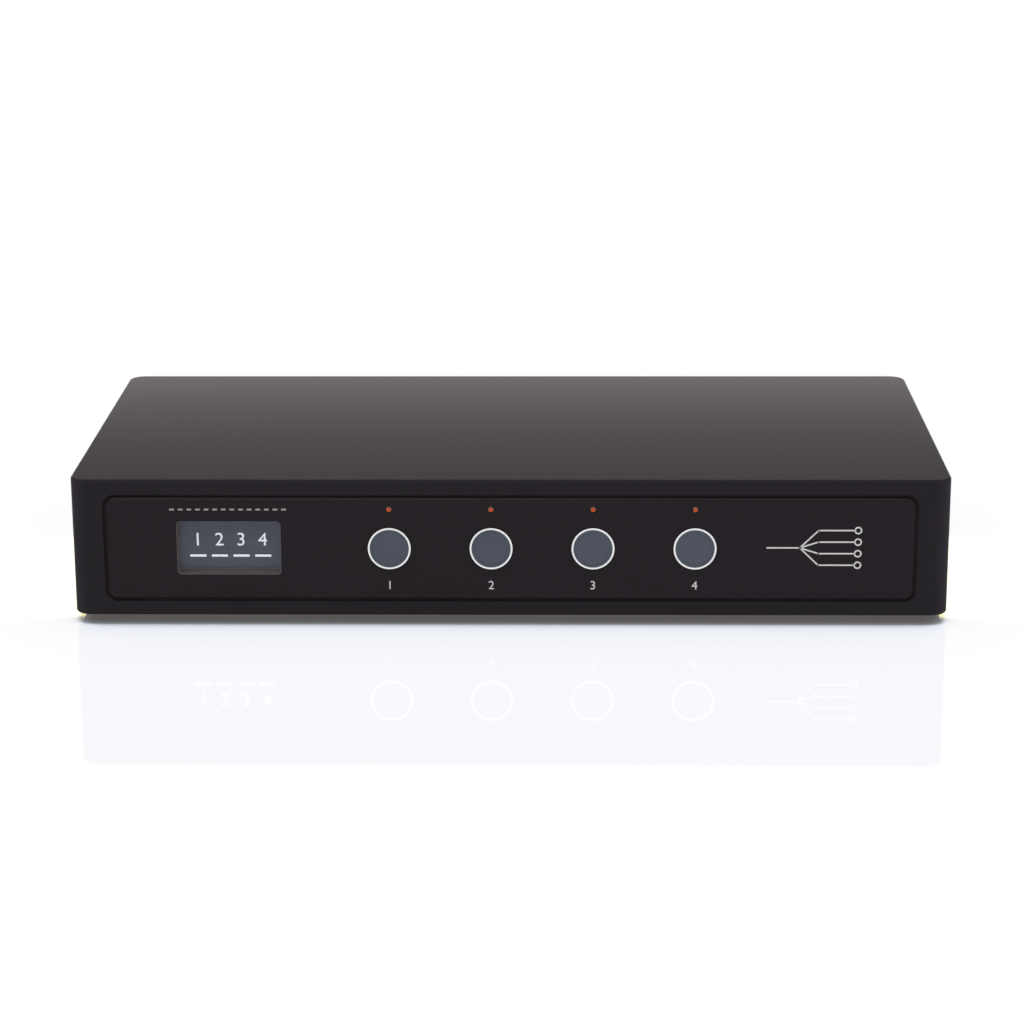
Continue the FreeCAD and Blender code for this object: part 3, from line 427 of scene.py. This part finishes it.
def box_mesh(name, low, high, edge=0.0):
    """A box between two corners, with rounded edges if edge is given."""
    form = bmesh.new()
    bmesh.ops.create_cube(form, size=1.0)
    low, high = Vector(low), Vector(high)
    size = high - low
    for vert in form.verts:
        vert.co = low + Vector(((vert.co[i] + 0.5) * size[i] for i in range(3)))
    if edge:
        bmesh.ops.bevel(
            form, geom=form.edges[:], offset=edge, segments=EDGE_SEGMENTS, profile=0.5, affect="EDGES"
        )
    mesh = bpy.data.meshes.new(name)
    form.to_mesh(mesh)
    form.free()
    smooth_by_angle(mesh)
    return mesh


FACE_FRONT = Matrix.Rotation(math.radians(90), 4, "X")
FACE_REAR = Matrix.Rotation(math.radians(180), 4, "Z") @ FACE_FRONT
CAPITAL_SHARE = 0.72  # height of a figure as a share of the font's size


def print_text(name, text, middle, height, facing, finish, depth):
    """Flat characters on a surface: middle is their centre, height their cap height."""
    curve = bpy.data.curves.new(name, "FONT")
    curve.body = text
    curve.align_x = "CENTER"
    curve.align_y = "BOTTOM_BASELINE"
    curve.size = height / CAPITAL_SHARE
    curve.extrude = depth / 2
    curve.resolution_u = 6
    text_object = bpy.data.objects.new(name, curve)
    bpy.context.scene.collection.objects.link(text_object)
    graph = bpy.context.evaluated_depsgraph_get()
    mesh = bpy.data.meshes.new_from_object(text_object.evaluated_get(graph))
    bpy.data.objects.remove(text_object)
    bpy.data.curves.remove(curve)
    mesh.transform(Matrix.Translation(Vector(middle)) @ facing @ Matrix.Translation((0, -height / 2, 0)))
    mesh.name = name
    return new_object(name, mesh, finish, BODY)


def frame_mesh(name, low, high, radius, width, front_y, back_y):
    """A rounded rectangular frame that faces the front: low and high are its outer X-Z corners."""
    outline = []
    for quarter, (sign_x, sign_z) in enumerate(((1, 1), (-1, 1), (-1, -1), (1, -1))):
        centre_x = (high[0] if sign_x > 0 else low[0]) - sign_x * radius
        centre_z = (high[1] if sign_z > 0 else low[1]) - sign_z * radius
        for step in range(CORNER_STEPS + 1):
            angle = math.radians(90) * (quarter + step / CORNER_STEPS)
            outline.append((centre_x, centre_z, math.cos(angle), math.sin(angle)))
    form = bmesh.new()
    rings = []
    inner = radius - width
    for reach, y in ((radius, front_y), (inner, front_y), (inner, back_y), (radius, back_y)):
        rings.append([form.verts.new((x + reach * c, y, z + reach * s)) for x, z, c, s in outline])
    for ring, following in zip(rings, rings[1:] + rings[:1]):
        for i in range(len(outline)):
            j = (i + 1) % len(outline)
            form.faces.new((ring[i], ring[j], following[j], following[i]))
    bmesh.ops.remove_doubles(form, verts=form.verts, dist=MERGE_DISTANCE)
    bmesh.ops.recalc_face_normals(form, faces=form.faces)
    mesh = bpy.data.meshes.new(name)
    form.to_mesh(mesh)
    form.free()
    smooth_by_angle(mesh)
    return mesh


def paint_sides(piece, finish, facing=0.5):
    """A second finish on the faces of a piece that face the front or the back by less than a share."""
    piece.data.materials.append(FINISH[finish])
    for face in piece.data.polygons:
        if abs(face.normal.y) < facing:
            face.material_index = 1


def stroke_mesh(name, paths, width, plane_y, depth):
    """Flat lines of one width through lists of X-Z points, as thin plates that face the front."""
    form = bmesh.new()
    for points in paths:
        for start, end in zip(points, points[1:]):
            a, b = Vector((start[0], 0, start[1])), Vector((end[0], 0, end[1]))
            along = (b - a).normalized()
            across = along.cross(Vector((0, 1, 0))) * width / 2
            along = along * width / 2
            corners = [a - along - across, b + along - across, b + along + across, a - along + across]
            front = [form.verts.new(p + Vector((0, plane_y - depth, 0))) for p in corners]
            back = [form.verts.new(p + Vector((0, plane_y, 0))) for p in corners]
            form.faces.new(front)
            form.faces.new(back[::-1])
            for i in range(4):
                j = (i + 1) % 4
                form.faces.new((front[i], back[i], back[j], front[j]))
    bmesh.ops.recalc_face_normals(form, faces=form.faces)
    mesh = bpy.data.meshes.new(name)
    form.to_mesh(mesh)
    form.free()
    return mesh


# Rows of equal pieces, made by Geometry Nodes

def row_tree():
    """Copies of one piece along a line, as a node group with named inputs."""
    tree = bpy.data.node_groups.new("Row of pieces", "GeometryNodeTree")
    face = tree.interface
    face.new_socket("Geometry", in_out="OUTPUT", socket_type="NodeSocketGeometry")
    face.new_socket("Piece", in_out="INPUT", socket_type="NodeSocketObject")
    face.new_socket("Count", in_out="INPUT", socket_type="NodeSocketInt")
    face.new_socket("Start", in_out="INPUT", socket_type="NodeSocketVector")
    face.new_socket("Step", in_out="INPUT", socket_type="NodeSocketVector")
    face.new_socket("Finish", in_out="INPUT", socket_type="NodeSocketMaterial")
    nodes, link = tree.nodes, tree.links.new
    given = nodes.new("NodeGroupInput")
    line = nodes.new("GeometryNodeMeshLine")
    line.mode = "OFFSET"
    info = nodes.new("GeometryNodeObjectInfo")
    copies = nodes.new("GeometryNodeInstanceOnPoints")
    real = nodes.new("GeometryNodeRealizeInstances")
    painted = nodes.new("GeometryNodeSetMaterial")
    result = nodes.new("NodeGroupOutput")
    link(given.outputs["Count"], line.inputs["Count"])
    link(given.outputs["Start"], line.inputs["Start Location"])
    link(given.outputs["Step"], line.inputs["Offset"])
    link(given.outputs["Piece"], info.inputs["Object"])
    link(line.outputs["Mesh"], copies.inputs["Points"])
    link(info.outputs["Geometry"], copies.inputs["Instance"])
    link(copies.outputs["Instances"], real.inputs["Geometry"])
    link(real.outputs["Geometry"], painted.inputs["Geometry"])
    link(given.outputs["Finish"], painted.inputs["Material"])
    link(painted.outputs["Geometry"], result.inputs["Geometry"])
    return tree


def make_row(name, mesh, count, start, step, finish, body=BODY):
    """A plain mesh of copies of one mesh, from start by steps."""
    if "Row of pieces" not in bpy.data.node_groups:
        row_tree()
    tree = bpy.data.node_groups["Row of pieces"]
    pattern = bpy.data.objects.new(f"{name}_pattern", mesh)
    bpy.context.scene.collection.objects.link(pattern)
    holder = bpy.data.objects.new(f"{name}_holder", bpy.data.meshes.new(f"{name}_holder"))
    bpy.context.scene.collection.objects.link(holder)
    modifier = holder.modifiers.new("Row", "NODES")
    modifier.node_group = tree
    values = {
        "Piece": pattern,
        "Count": count,
        "Start": tuple(start),
        "Step": tuple(step),
        "Finish": FINISH[finish],
    }
    for item in tree.interface.items_tree:
        if item.in_out == "INPUT":
            modifier[item.identifier] = values[item.name]
    graph = bpy.context.evaluated_depsgraph_get()
    made = bpy.data.meshes.new_from_object(holder.evaluated_get(graph))
    bpy.data.objects.remove(holder)
    bpy.data.objects.remove(pattern)
    made.name = name
    if not made.polygons:
        raise RuntimeError(f"{name} came out empty")
    return new_object(name, made, finish, body)


# Operators, one for each piece or group of like pieces

class SELECTOR_OT_case(bpy.types.Operator):
    """Case, base plate, panels and feet"""
    bl_idname = "selector.case"
    bl_label = "Case and panels"

    def execute(self, context):
        edge = sizes().edge
        dress("case_shell", "case", edge)
        dress("base_plate", "base", edge)
        dress("front_fascia", "fascia", edge)
        dress("rear_panel", "fascia", edge)
        # Dark rings of painted shade in the gaps round the front and rear panels.
        self.seal("front_seal", "front_fascia", FASCIA_Y + sizes().seal_depth, FASCIA_Y + PANEL_DEPTH)
        self.seal("rear_seal", "rear_panel", REAR_Y - PANEL_DEPTH, REAR_Y - sizes().seal_depth)
        dress("base_screws", "steel", edge / 2)
        for foot in FEET:
            dress(foot, "rubber", edge)
        return {"FINISHED"}

    def seal(self, name, panel, front_y, back_y):
        """A dark ring of painted shade that fills the gap between a panel and its recess."""
        low, high = low_of(panel), high_of(panel)
        low = (low.x - PANEL_GAP, low.z - PANEL_GAP)
        high = (high.x + PANEL_GAP, high.z + PANEL_GAP)
        mesh = frame_mesh(name, low, high, PANEL_CORNER + PANEL_GAP, PANEL_GAP, front_y, back_y)
        new_object(name, mesh, "seal", BODY)


class SELECTOR_OT_buttons(bpy.types.Operator):
    """Button caps, rings and lamps"""
    bl_idname = "selector.buttons"
    bl_label = "Buttons and lamps"

    def execute(self, context):
        for zone in ZONES:
            dress(f"button_cap_{zone}", "button")
            ring = dress(f"button_ring_{zone}", "ring")
            # The ring's side walls get a darker copy of its metal as painted shade.
            paint_sides(ring, "ring_painted_shade")
            self.lip(zone, ring)
            paint_sides(dress(f"light_pipe_{zone}", "lamp"), "pipe", 0.9)
            paint(f"switch_plunger_{zone}", "black")
            paint(f"tact_switch_{zone}", "black")
        return {"FINISHED"}

    def lip(self, zone, ring):
        """A lip in the ring's face that covers the gap round the cap, and a thin dark ring of painted shade
        round the ring.
        """
        s = sizes()
        low, high = low_of(f"button_ring_{zone}"), high_of(f"button_ring_{zone}")
        for vert in ring.data.vertices:
            if vert.co.y < low.y + s.print_height / 2:
                vert.co.y += s.print_height
        outer = (high.x - low.x) / 2
        middle = Vector(((low.x + high.x) / 2, (low.z + high.z) / 2))
        lip, seat = f"button_lip_{zone}", f"button_seat_{zone}"
        painted_shade_front = FASCIA_Y - s.print_height
        self.annulus(lip, middle, outer - s.ring_face, s.lip, low.y, "button", "button_plastic")
        # Painted shade: a thin dark ring on the fascia where the gap round the button ring is shaded.
        self.annulus(seat, middle, outer + s.seat, s.seat, painted_shade_front, "seal", "fascia_plastic")

    def annulus(self, name, middle, radius, width, front, finish, slot):
        """A flat ring as thick as print: middle is its X-Z centre, radius its outer one."""
        corner = Vector((radius, radius))
        back = front + sizes().print_height
        mesh = frame_mesh(name, middle - corner, middle + corner, radius, width, front, back)
        new_object(name, mesh, finish, BODY)


# What the display shows, measured from the middle of its window
LIT_AREA_THICKNESS = 0.04 * MM
ZONES_ACROSS = 4.6
DISPLAY_DIGIT = 3.0 * MM
DISPLAY_DIGIT_LIFT = 1.2 * MM
BAR_DROP = 2.6 * MM
BAR_HALF = 1.5 * MM
BAR_WIDTH = 0.5 * MM

# The painted highlight on the edge of the window, and the pale walls behind it that paint light into the
# shade there
PAINTED_HIGHLIGHT_PROUD = 0.15 * MM
THROAT_WALL = 0.08 * MM
THROAT_CLEARANCE = 0.05 * MM


class SELECTOR_OT_display(bpy.types.Operator):
    """Display window, glass, lit area and what it shows"""
    bl_idname = "selector.display"
    bl_label = "Display"

    def execute(self, context):
        s = sizes()
        dress("display_window", "lens")
        # The display panel's edge is partly painted light: its grey is raised against the window's shade.
        dress("display_panel", "screen_edge")
        paint("display_holder", "black")
        middle = centre_of("display_window")
        glass_y = low_of("display_panel").y
        self.window_rim(s)
        half = Vector((s.screen_width / 2, 0, s.screen_height / 2))
        front = glass_y - LIT_AREA_THICKNESS
        low = Vector((middle.x, front, middle.z)) - half
        high = Vector((middle.x, glass_y, middle.z)) + half
        mesh = box_mesh("display_lit_area", low, high)
        new_object("display_lit_area", mesh, "screen", BODY)
        bars = []
        for zone in ZONES:
            x = middle.x + (zone - 2.5) * s.screen_width / ZONES_ACROSS
            print_text(
                f"display_digit_{zone}", str(zone), (x, front, middle.z + DISPLAY_DIGIT_LIFT), DISPLAY_DIGIT,
                FACE_FRONT, "screen_mark", s.print_height,
            )
            bars.append([(x - BAR_HALF, middle.z - BAR_DROP), (x + BAR_HALF, middle.z - BAR_DROP)])
        mesh = stroke_mesh("display_bars", bars, BAR_WIDTH, front, s.print_height)
        new_object("display_bars", mesh, "screen_mark", BODY)
        return {"FINISHED"}

    def window_rim(self, s):
        """A painted highlight on the edge of the window, just before its pane, and pale walls behind the
        pane that paint light into its shade.
        """
        middle = centre_of("display_window")
        half_x, half_z = WINDOW_SIZE[0] / 2, WINDOW_SIZE[1] / 2
        low, high = (middle.x - half_x, middle.z - half_z), (middle.x + half_x, middle.z + half_z)
        front = low_of("display_window").y
        # The pale rim is a painted highlight on the window's edge.
        mesh = frame_mesh("window_rim", low, high, WINDOW_CORNER, s.rim, front - PAINTED_HIGHLIGHT_PROUD, front)
        new_object("window_rim", mesh, "rim", BODY)
        inset = Vector((THROAT_WALL, THROAT_WALL))
        low, high = Vector(low) + inset, Vector(high) - inset
        front += THROAT_CLEARANCE
        back = low_of("display_panel").y - THROAT_CLEARANCE
        # The throat's pale walls paint light into the shade behind the pane.
        mesh = frame_mesh("window_throat", low, high, WINDOW_CORNER, THROAT_WALL, front, back)
        new_object("window_throat", mesh, "painted_light_throat", BODY)


REAR_NUMBER_LIFT = 1.6 * MM
MARK_COUNT = 14
MARK_HALF_HEIGHT = 0.18 * MM

# The routing mark: its left end from the middle of the case, its height from the case's lower edge
ROUTING_LEFT = 55.5 * MM
ROUTING_HEIGHT = 15.4 * MM

# The rest of it, measured from its left end
ROUTING_FORK = 7.0 * MM
ROUTING_LEVEL_START = 11.0 * MM
ROUTING_LEVEL_END = 18.6 * MM
ROUTING_LEVEL_STEP = 2.6 * MM
ROUTING_RING = 19.5 * MM
ROUTING_RING_RADIUS = 0.85 * MM


class SELECTOR_OT_print(bpy.types.Operator):
    """Plain numbers, the row of marks and the routing mark on the fascia, numbers on the rear"""
    bl_idname = "selector.print"
    bl_label = "Print"

    def execute(self, context):
        s = sizes()
        for zone in ZONES:
            button = centre_of(f"button_ring_{zone}")
            print_text(
                f"front_number_{zone}", str(zone), (button.x, FASCIA_Y, button.z - s.digit_drop), s.digit,
                FACE_FRONT, "ink", s.print_height,
            )
        self.marks_over_display(s)
        self.routing_mark(s)
        for zone in ZONES:
            header = centre_of(f"terminal_header_{zone}")
            above = high_of(f"terminal_plug_{zone}").z + REAR_NUMBER_LIFT
            print_text(
                f"rear_number_{zone}", str(zone), (header.x, REAR_Y, above), s.digit,
                FACE_REAR, "ink", s.print_height,
            )
        return {"FINISHED"}

    def marks_over_display(self, s):
        """A row of plain dashes at the height of the lamps."""
        window = centre_of("display_window")
        height = centre_of("light_pipe_1").z
        tick = box_mesh(
            "tick",
            (-s.tick_width / 2, FASCIA_Y - s.print_height, height - MARK_HALF_HEIGHT),
            (s.tick_width / 2, FASCIA_Y, height + MARK_HALF_HEIGHT),
        )
        start = (window.x - (MARK_COUNT - 1) / 2 * s.tick_step, 0, 0)
        make_row("front_marks", tick, MARK_COUNT, start, (s.tick_step, 0, 0), "dim_ink", BODY)

    def routing_mark(self, s):
        """One line in, four lines out to small rings: a plain diagram of what the box does."""
        left = ROUTING_LEFT
        middle = CASE_LOW.z + ROUTING_HEIGHT
        radius = ROUTING_RING_RADIUS
        corner = Vector((radius, radius))
        paths = [[(left, middle), (left + ROUTING_FORK, middle)]]
        for index in range(len(ZONES)):
            level = middle + (index - 1.5) * ROUTING_LEVEL_STEP
            paths.append([
                (left + ROUTING_FORK, middle),
                (left + ROUTING_LEVEL_START, level),
                (left + ROUTING_LEVEL_END, level),
            ])
            centre = Vector((left + ROUTING_RING, level))
            name = f"routing_ring_{index + 1}"
            front = FASCIA_Y - s.print_height
            ring = frame_mesh(name, centre - corner, centre + corner, radius, s.line, front, FASCIA_Y)
            new_object(name, ring, "ink", BODY)
        mesh = stroke_mesh("routing_mark", paths, s.line, FASCIA_Y, s.print_height)
        new_object("routing_mark", mesh, "ink", BODY)


# The cage at the bottom of a wire mouth, measured from the plug's rear face
CLAMP_REACH = 7.0 * MM
CLAMP_HALF = 1.45 * MM
CLAMP_DEPTH = 1.6 * MM
CLAMP_EDGE = 0.25 * MM


class SELECTOR_OT_terminals(bpy.types.Operator):
    """Rear terminals, their screws and wire clamps, and the power inlet"""
    bl_idname = "selector.terminals"
    bl_label = "Terminals"

    def execute(self, context):
        edge = sizes().edge
        for name in TERMINALS:
            dress(f"terminal_plug_{name}", "terminal", edge)
            dress(f"terminal_header_{name}", "terminal")
            dress(f"clamp_screws_{name}", "steel", edge / 2)
            self.wire_clamps(name)
        dress("power_inlet", "inlet")
        return {"FINISHED"}

    def wire_clamps(self, name):
        """A tinned cage at the bottom of each wire mouth."""
        header = centre_of(f"terminal_header_{name}")
        floor = high_of(f"terminal_plug_{name}").y - CLAMP_REACH
        low = (-CLAMP_HALF, floor, header.z - CLAMP_HALF)
        high = (CLAMP_HALF, floor + CLAMP_DEPTH, header.z + CLAMP_HALF)
        cage = box_mesh("cage", low, high, CLAMP_EDGE)
        start = (header.x - (POLES - 1) / 2 * TERMINAL_PITCH, 0, 0)
        make_row(
            f"wire_clamps_{name}", cage, POLES, start, (TERMINAL_PITCH, 0, 0), "brass",
            body_of_node(f"terminal_plug_{name}"),
        )


class SELECTOR_OT_inside(bpy.types.Operator):
    """Boards and the parts on them"""
    bl_idname = "selector.inside"
    bl_label = "Inside"

    def execute(self, context):
        for node in ("front_board", "main_board"):
            paint(node, "board")
        for node in ("front_board_screws", "main_board_screws"):
            paint(node, "steel")
        for zone in ZONES:
            paint(f"relay_{zone}", "relay")
        paint("radio_module", "can")
        paint("reservoir_capacitor", "can")
        paint("board_link", "black")
        paint("indicator_leds", "chip")
        return {"FINISHED"}


# Stage

# The photograph's camera: its place in millimetres from the middle of the case's lower front edge
CAMERA_PLACE = (11.32, -596.2, 196.3)
CAMERA_PITCH = math.radians(16.17)
CAMERA_YAW = math.radians(-1.04)
CAMERA_ROLL = math.radians(-0.243)
CAMERA_LENS = 101.45
CAMERA_SENSOR = 36.0
CAMERA_CLIP = (0.01, 50.0)

# The floor's tones by how open it is: near gives the shade below the case, far the fall-off round it.
NEAR_SHADE = 8.0 * MM
FAR_SHADE = 30.0 * MM
NEAR_SAMPLES = 16
FAR_SAMPLES = 4
NEAR_TONES = (
    (0.20, (0.132, 0.118, 0.109)),
    (0.50, (0.30, 0.31, 0.32)),
    (0.60, (0.77, 0.82, 0.88)),
    (0.70, (0.95, 0.96, 0.98)),
    (0.88, (1.0, 1.0, 1.0)),
)
FAR_TONES = (
    (0.50, (0.83, 0.85, 0.87)),
    (0.80, (1.0, 1.0, 1.0)),
)

# The studio's grey and how much of it the floor mirrors in each channel
STUDIO_GREY = (0.57, 0.52, 0.50)
MIRROR = (0.127, 0.118, 0.050)
MIRROR_ROUGHNESS = 0.03
FLOOR_GREY = (0.8, 0.8, 0.8)
FLOOR_SIZE = 3.0

# Lamps: name, place, target, size, power in watts, tint, and whether glossy surfaces mirror it
WHITE = (1.0, 1.0, 1.0)
LAMPS = (
    ("key_light", (-0.25, -0.40, 0.87), (0, 0, 0.02), (0.9, 0.7), 5.6, WHITE, True),
    ("back_light", (0.0, 0.14, 0.050), (0, 0, 0.050), (0.5, 0.024), 0.205, (1.0, 0.94, 0.89), True),
    ("left_light", (-0.60, 0.0, 0.06), (0, 0, 0.018), (0.3, 0.1), 1.7, WHITE, False),
    ("right_light", (0.60, -0.05, 0.06), (0, 0, 0.018), (0.3, 0.1), 2.3, WHITE, False),
)


def occlusion(tree, reach, samples):
    """How open the floor is within a distance, from 0 in a corner to 1 in the open."""
    made = tree.nodes.new("ShaderNodeAmbientOcclusion")
    made.inputs["Distance"].default_value = reach
    made.samples = samples
    return made.outputs["AO"]


def colour_ramp(tree, source, stops):
    """A colour for each value of a source: stops are pairs of place and colour."""
    made = tree.nodes.new("ShaderNodeValToRGB")
    elements = made.color_ramp.elements
    while len(elements) < len(stops):
        elements.new(0.5)
    for element, (place, rgb) in zip(elements, stops):
        element.position = place
        element.color = (*rgb, 1)
    tree.links.new(source, made.inputs["Fac"])
    return made.outputs["Color"]


def multiply(tree, first, second=None):
    """The product of two colours. Without a second, what the floor's gloss leaves of the first."""
    made = tree.nodes.new("ShaderNodeMix")
    made.data_type = "RGBA"
    made.blend_type = "MULTIPLY"
    made.inputs["Factor"].default_value = 1.0
    tree.links.new(first, made.inputs["A"])
    if second is None:
        left_over = (1 - grey * part for grey, part in zip(STUDIO_GREY, MIRROR))
        made.inputs["B"].default_value = (*left_over, 1)
    else:
        tree.links.new(second, made.inputs["B"])
    return made.outputs["Result"]


def floor_material():
    """A pale glossy floor: white to the camera, dark close to the case, with a faint mirror image."""
    material = bpy.data.materials.new("stage_floor")
    material.use_nodes = True
    tree = material.node_tree
    tree.nodes.clear()
    node, link = tree.nodes.new, tree.links.new
    output = node("ShaderNodeOutputMaterial")
    ray = node("ShaderNodeLightPath")
    seen = node("ShaderNodeMath")
    seen.operation = "MAXIMUM"
    link(ray.outputs["Is Camera Ray"], seen.inputs[0])
    link(ray.outputs["Is Glossy Ray"], seen.inputs[1])
    near = colour_ramp(tree, occlusion(tree, NEAR_SHADE, NEAR_SAMPLES), NEAR_TONES)
    far = colour_ramp(tree, occlusion(tree, FAR_SHADE, FAR_SAMPLES), FAR_TONES)
    tone = multiply(tree, multiply(tree, near, far))
    white = node("ShaderNodeEmission")
    link(tone, white.inputs["Color"])
    mirror = node("ShaderNodeBsdfGlossy")
    mirror.inputs["Roughness"].default_value = MIRROR_ROUGHNESS
    mirror.inputs["Color"].default_value = (*MIRROR, 1)
    glazed = node("ShaderNodeAddShader")
    link(white.outputs[0], glazed.inputs[0])
    link(mirror.outputs[0], glazed.inputs[1])
    matt = node("ShaderNodeBsdfDiffuse")
    matt.inputs["Color"].default_value = (*FLOOR_GREY, 1)
    both = node("ShaderNodeMixShader")
    link(seen.outputs[0], both.inputs["Fac"])
    link(matt.outputs[0], both.inputs[1])
    link(glazed.outputs[0], both.inputs[2])
    link(both.outputs[0], output.inputs["Surface"])
    return material


def make_world():
    """White to the camera, a plain grey light on the object."""
    world = bpy.data.worlds.new("studio")
    world.use_nodes = True
    tree = world.node_tree
    tree.nodes.clear()
    node, link = tree.nodes.new, tree.links.new
    output = node("ShaderNodeOutputWorld")
    ray = node("ShaderNodeLightPath")
    light = node("ShaderNodeBackground")
    light.inputs["Color"].default_value = (*STUDIO_GREY, 1)
    light.inputs["Strength"].default_value = 1.0
    white = node("ShaderNodeBackground")
    white.inputs["Color"].default_value = (1, 1, 1, 1)
    white.inputs["Strength"].default_value = 1.0
    both = node("ShaderNodeMixShader")
    link(ray.outputs["Is Camera Ray"], both.inputs["Fac"])
    link(light.outputs[0], both.inputs[1])
    link(white.outputs[0], both.inputs[2])
    link(both.outputs[0], output.inputs["Surface"])
    bpy.context.scene.world = world


def add_area(name, place, target, size, power, tint, mirrored):
    """A rectangular lamp that points at its target and that the camera doesn't see."""
    lamp = bpy.data.lights.new(name, "AREA")
    lamp.shape = "RECTANGLE"
    lamp.size, lamp.size_y = size
    lamp.energy = power
    lamp.color = tint
    thing = bpy.data.objects.new(name, lamp)
    bpy.context.scene.collection.objects.link(thing)
    thing.location = place
    thing.rotation_euler = (Vector(target) - Vector(place)).to_track_quat("-Z", "Y").to_euler()
    thing.visible_camera = False
    thing.visible_glossy = mirrored


def add_camera():
    """The photograph's camera."""
    pitch, yaw, roll = CAMERA_PITCH, CAMERA_YAW, CAMERA_ROLL
    forward = Vector((
        math.sin(yaw) * math.cos(pitch), math.cos(yaw) * math.cos(pitch), -math.sin(pitch)
    ))
    right = forward.cross(Vector((0, 0, 1))).normalized()
    up = right.cross(forward)
    across = math.cos(roll) * right + math.sin(roll) * up
    upright = math.cos(roll) * up - math.sin(roll) * right
    data = bpy.data.cameras.new("photo_camera")
    data.lens = CAMERA_LENS
    data.sensor_width = CAMERA_SENSOR
    data.clip_start, data.clip_end = CAMERA_CLIP
    camera = bpy.data.objects.new("photo_camera", data)
    bpy.context.scene.collection.objects.link(camera)
    turn = Matrix((across, upright, -forward)).transposed().to_4x4()
    edge = Vector((0, FASCIA_Y, CASE_LOW.z))
    camera.matrix_world = Matrix.Translation(edge + Vector(CAMERA_PLACE) * MM) @ turn
    bpy.context.scene.camera = camera


class SELECTOR_OT_stage(bpy.types.Operator):
    """Floor, light and camera"""
    bl_idname = "selector.stage"
    bl_label = "Stage"

    def execute(self, context):
        form = bmesh.new()
        bmesh.ops.create_grid(form, x_segments=1, y_segments=1, size=FLOOR_SIZE)
        mesh = bpy.data.meshes.new("stage_floor")
        form.to_mesh(mesh)
        form.free()
        mesh.materials.append(floor_material())
        floor = bpy.data.objects.new("stage_floor", mesh)
        context.scene.collection.objects.link(floor)
        make_world()
        for lamp in LAMPS:
            add_area(*lamp)
        add_camera()
        context.scene.view_settings.view_transform = "Standard"
        return {"FINISHED"}


class SELECTOR_PT_panel(bpy.types.Panel):
    """Sizes, colours and steps of the speaker selector switch"""
    bl_label = "Speaker selector"
    bl_idname = "SELECTOR_PT_panel"
    bl_space_type = "VIEW_3D"
    bl_region_type = "UI"
    bl_category = "Selector"

    def draw(self, context):
        for group in (context.scene.selector_sizes, context.scene.selector_colours):
            for key in group.__annotations__:
                self.layout.prop(group, key)
        for step in STEPS:
            self.layout.operator(step.bl_idname)


STEPS = (
    SELECTOR_OT_case,
    SELECTOR_OT_buttons,
    SELECTOR_OT_display,
    SELECTOR_OT_print,
    SELECTOR_OT_terminals,
    SELECTOR_OT_inside,
    SELECTOR_OT_stage,
)
CLASSES = (SelectorSizes, SelectorColours, SELECTOR_PT_panel) + STEPS


def register():
    for made in CLASSES:
        bpy.utils.register_class(made)
    bpy.types.Scene.selector_sizes = bpy.props.PointerProperty(type=SelectorSizes)
    bpy.types.Scene.selector_colours = bpy.props.PointerProperty(type=SelectorColours)


def unregister():
    del bpy.types.Scene.selector_colours
    del bpy.types.Scene.selector_sizes
    for made in reversed(CLASSES):
        bpy.utils.unregister_class(made)


def main():
    register()
    FINISH.update(make_finishes())
    bpy.ops.selector.case()
    bpy.ops.selector.buttons()
    bpy.ops.selector.display()
    bpy.ops.selector.print()
    bpy.ops.selector.terminals()
    bpy.ops.selector.inside()
    bpy.ops.selector.stage()


if __name__ == "__main__":
    main()
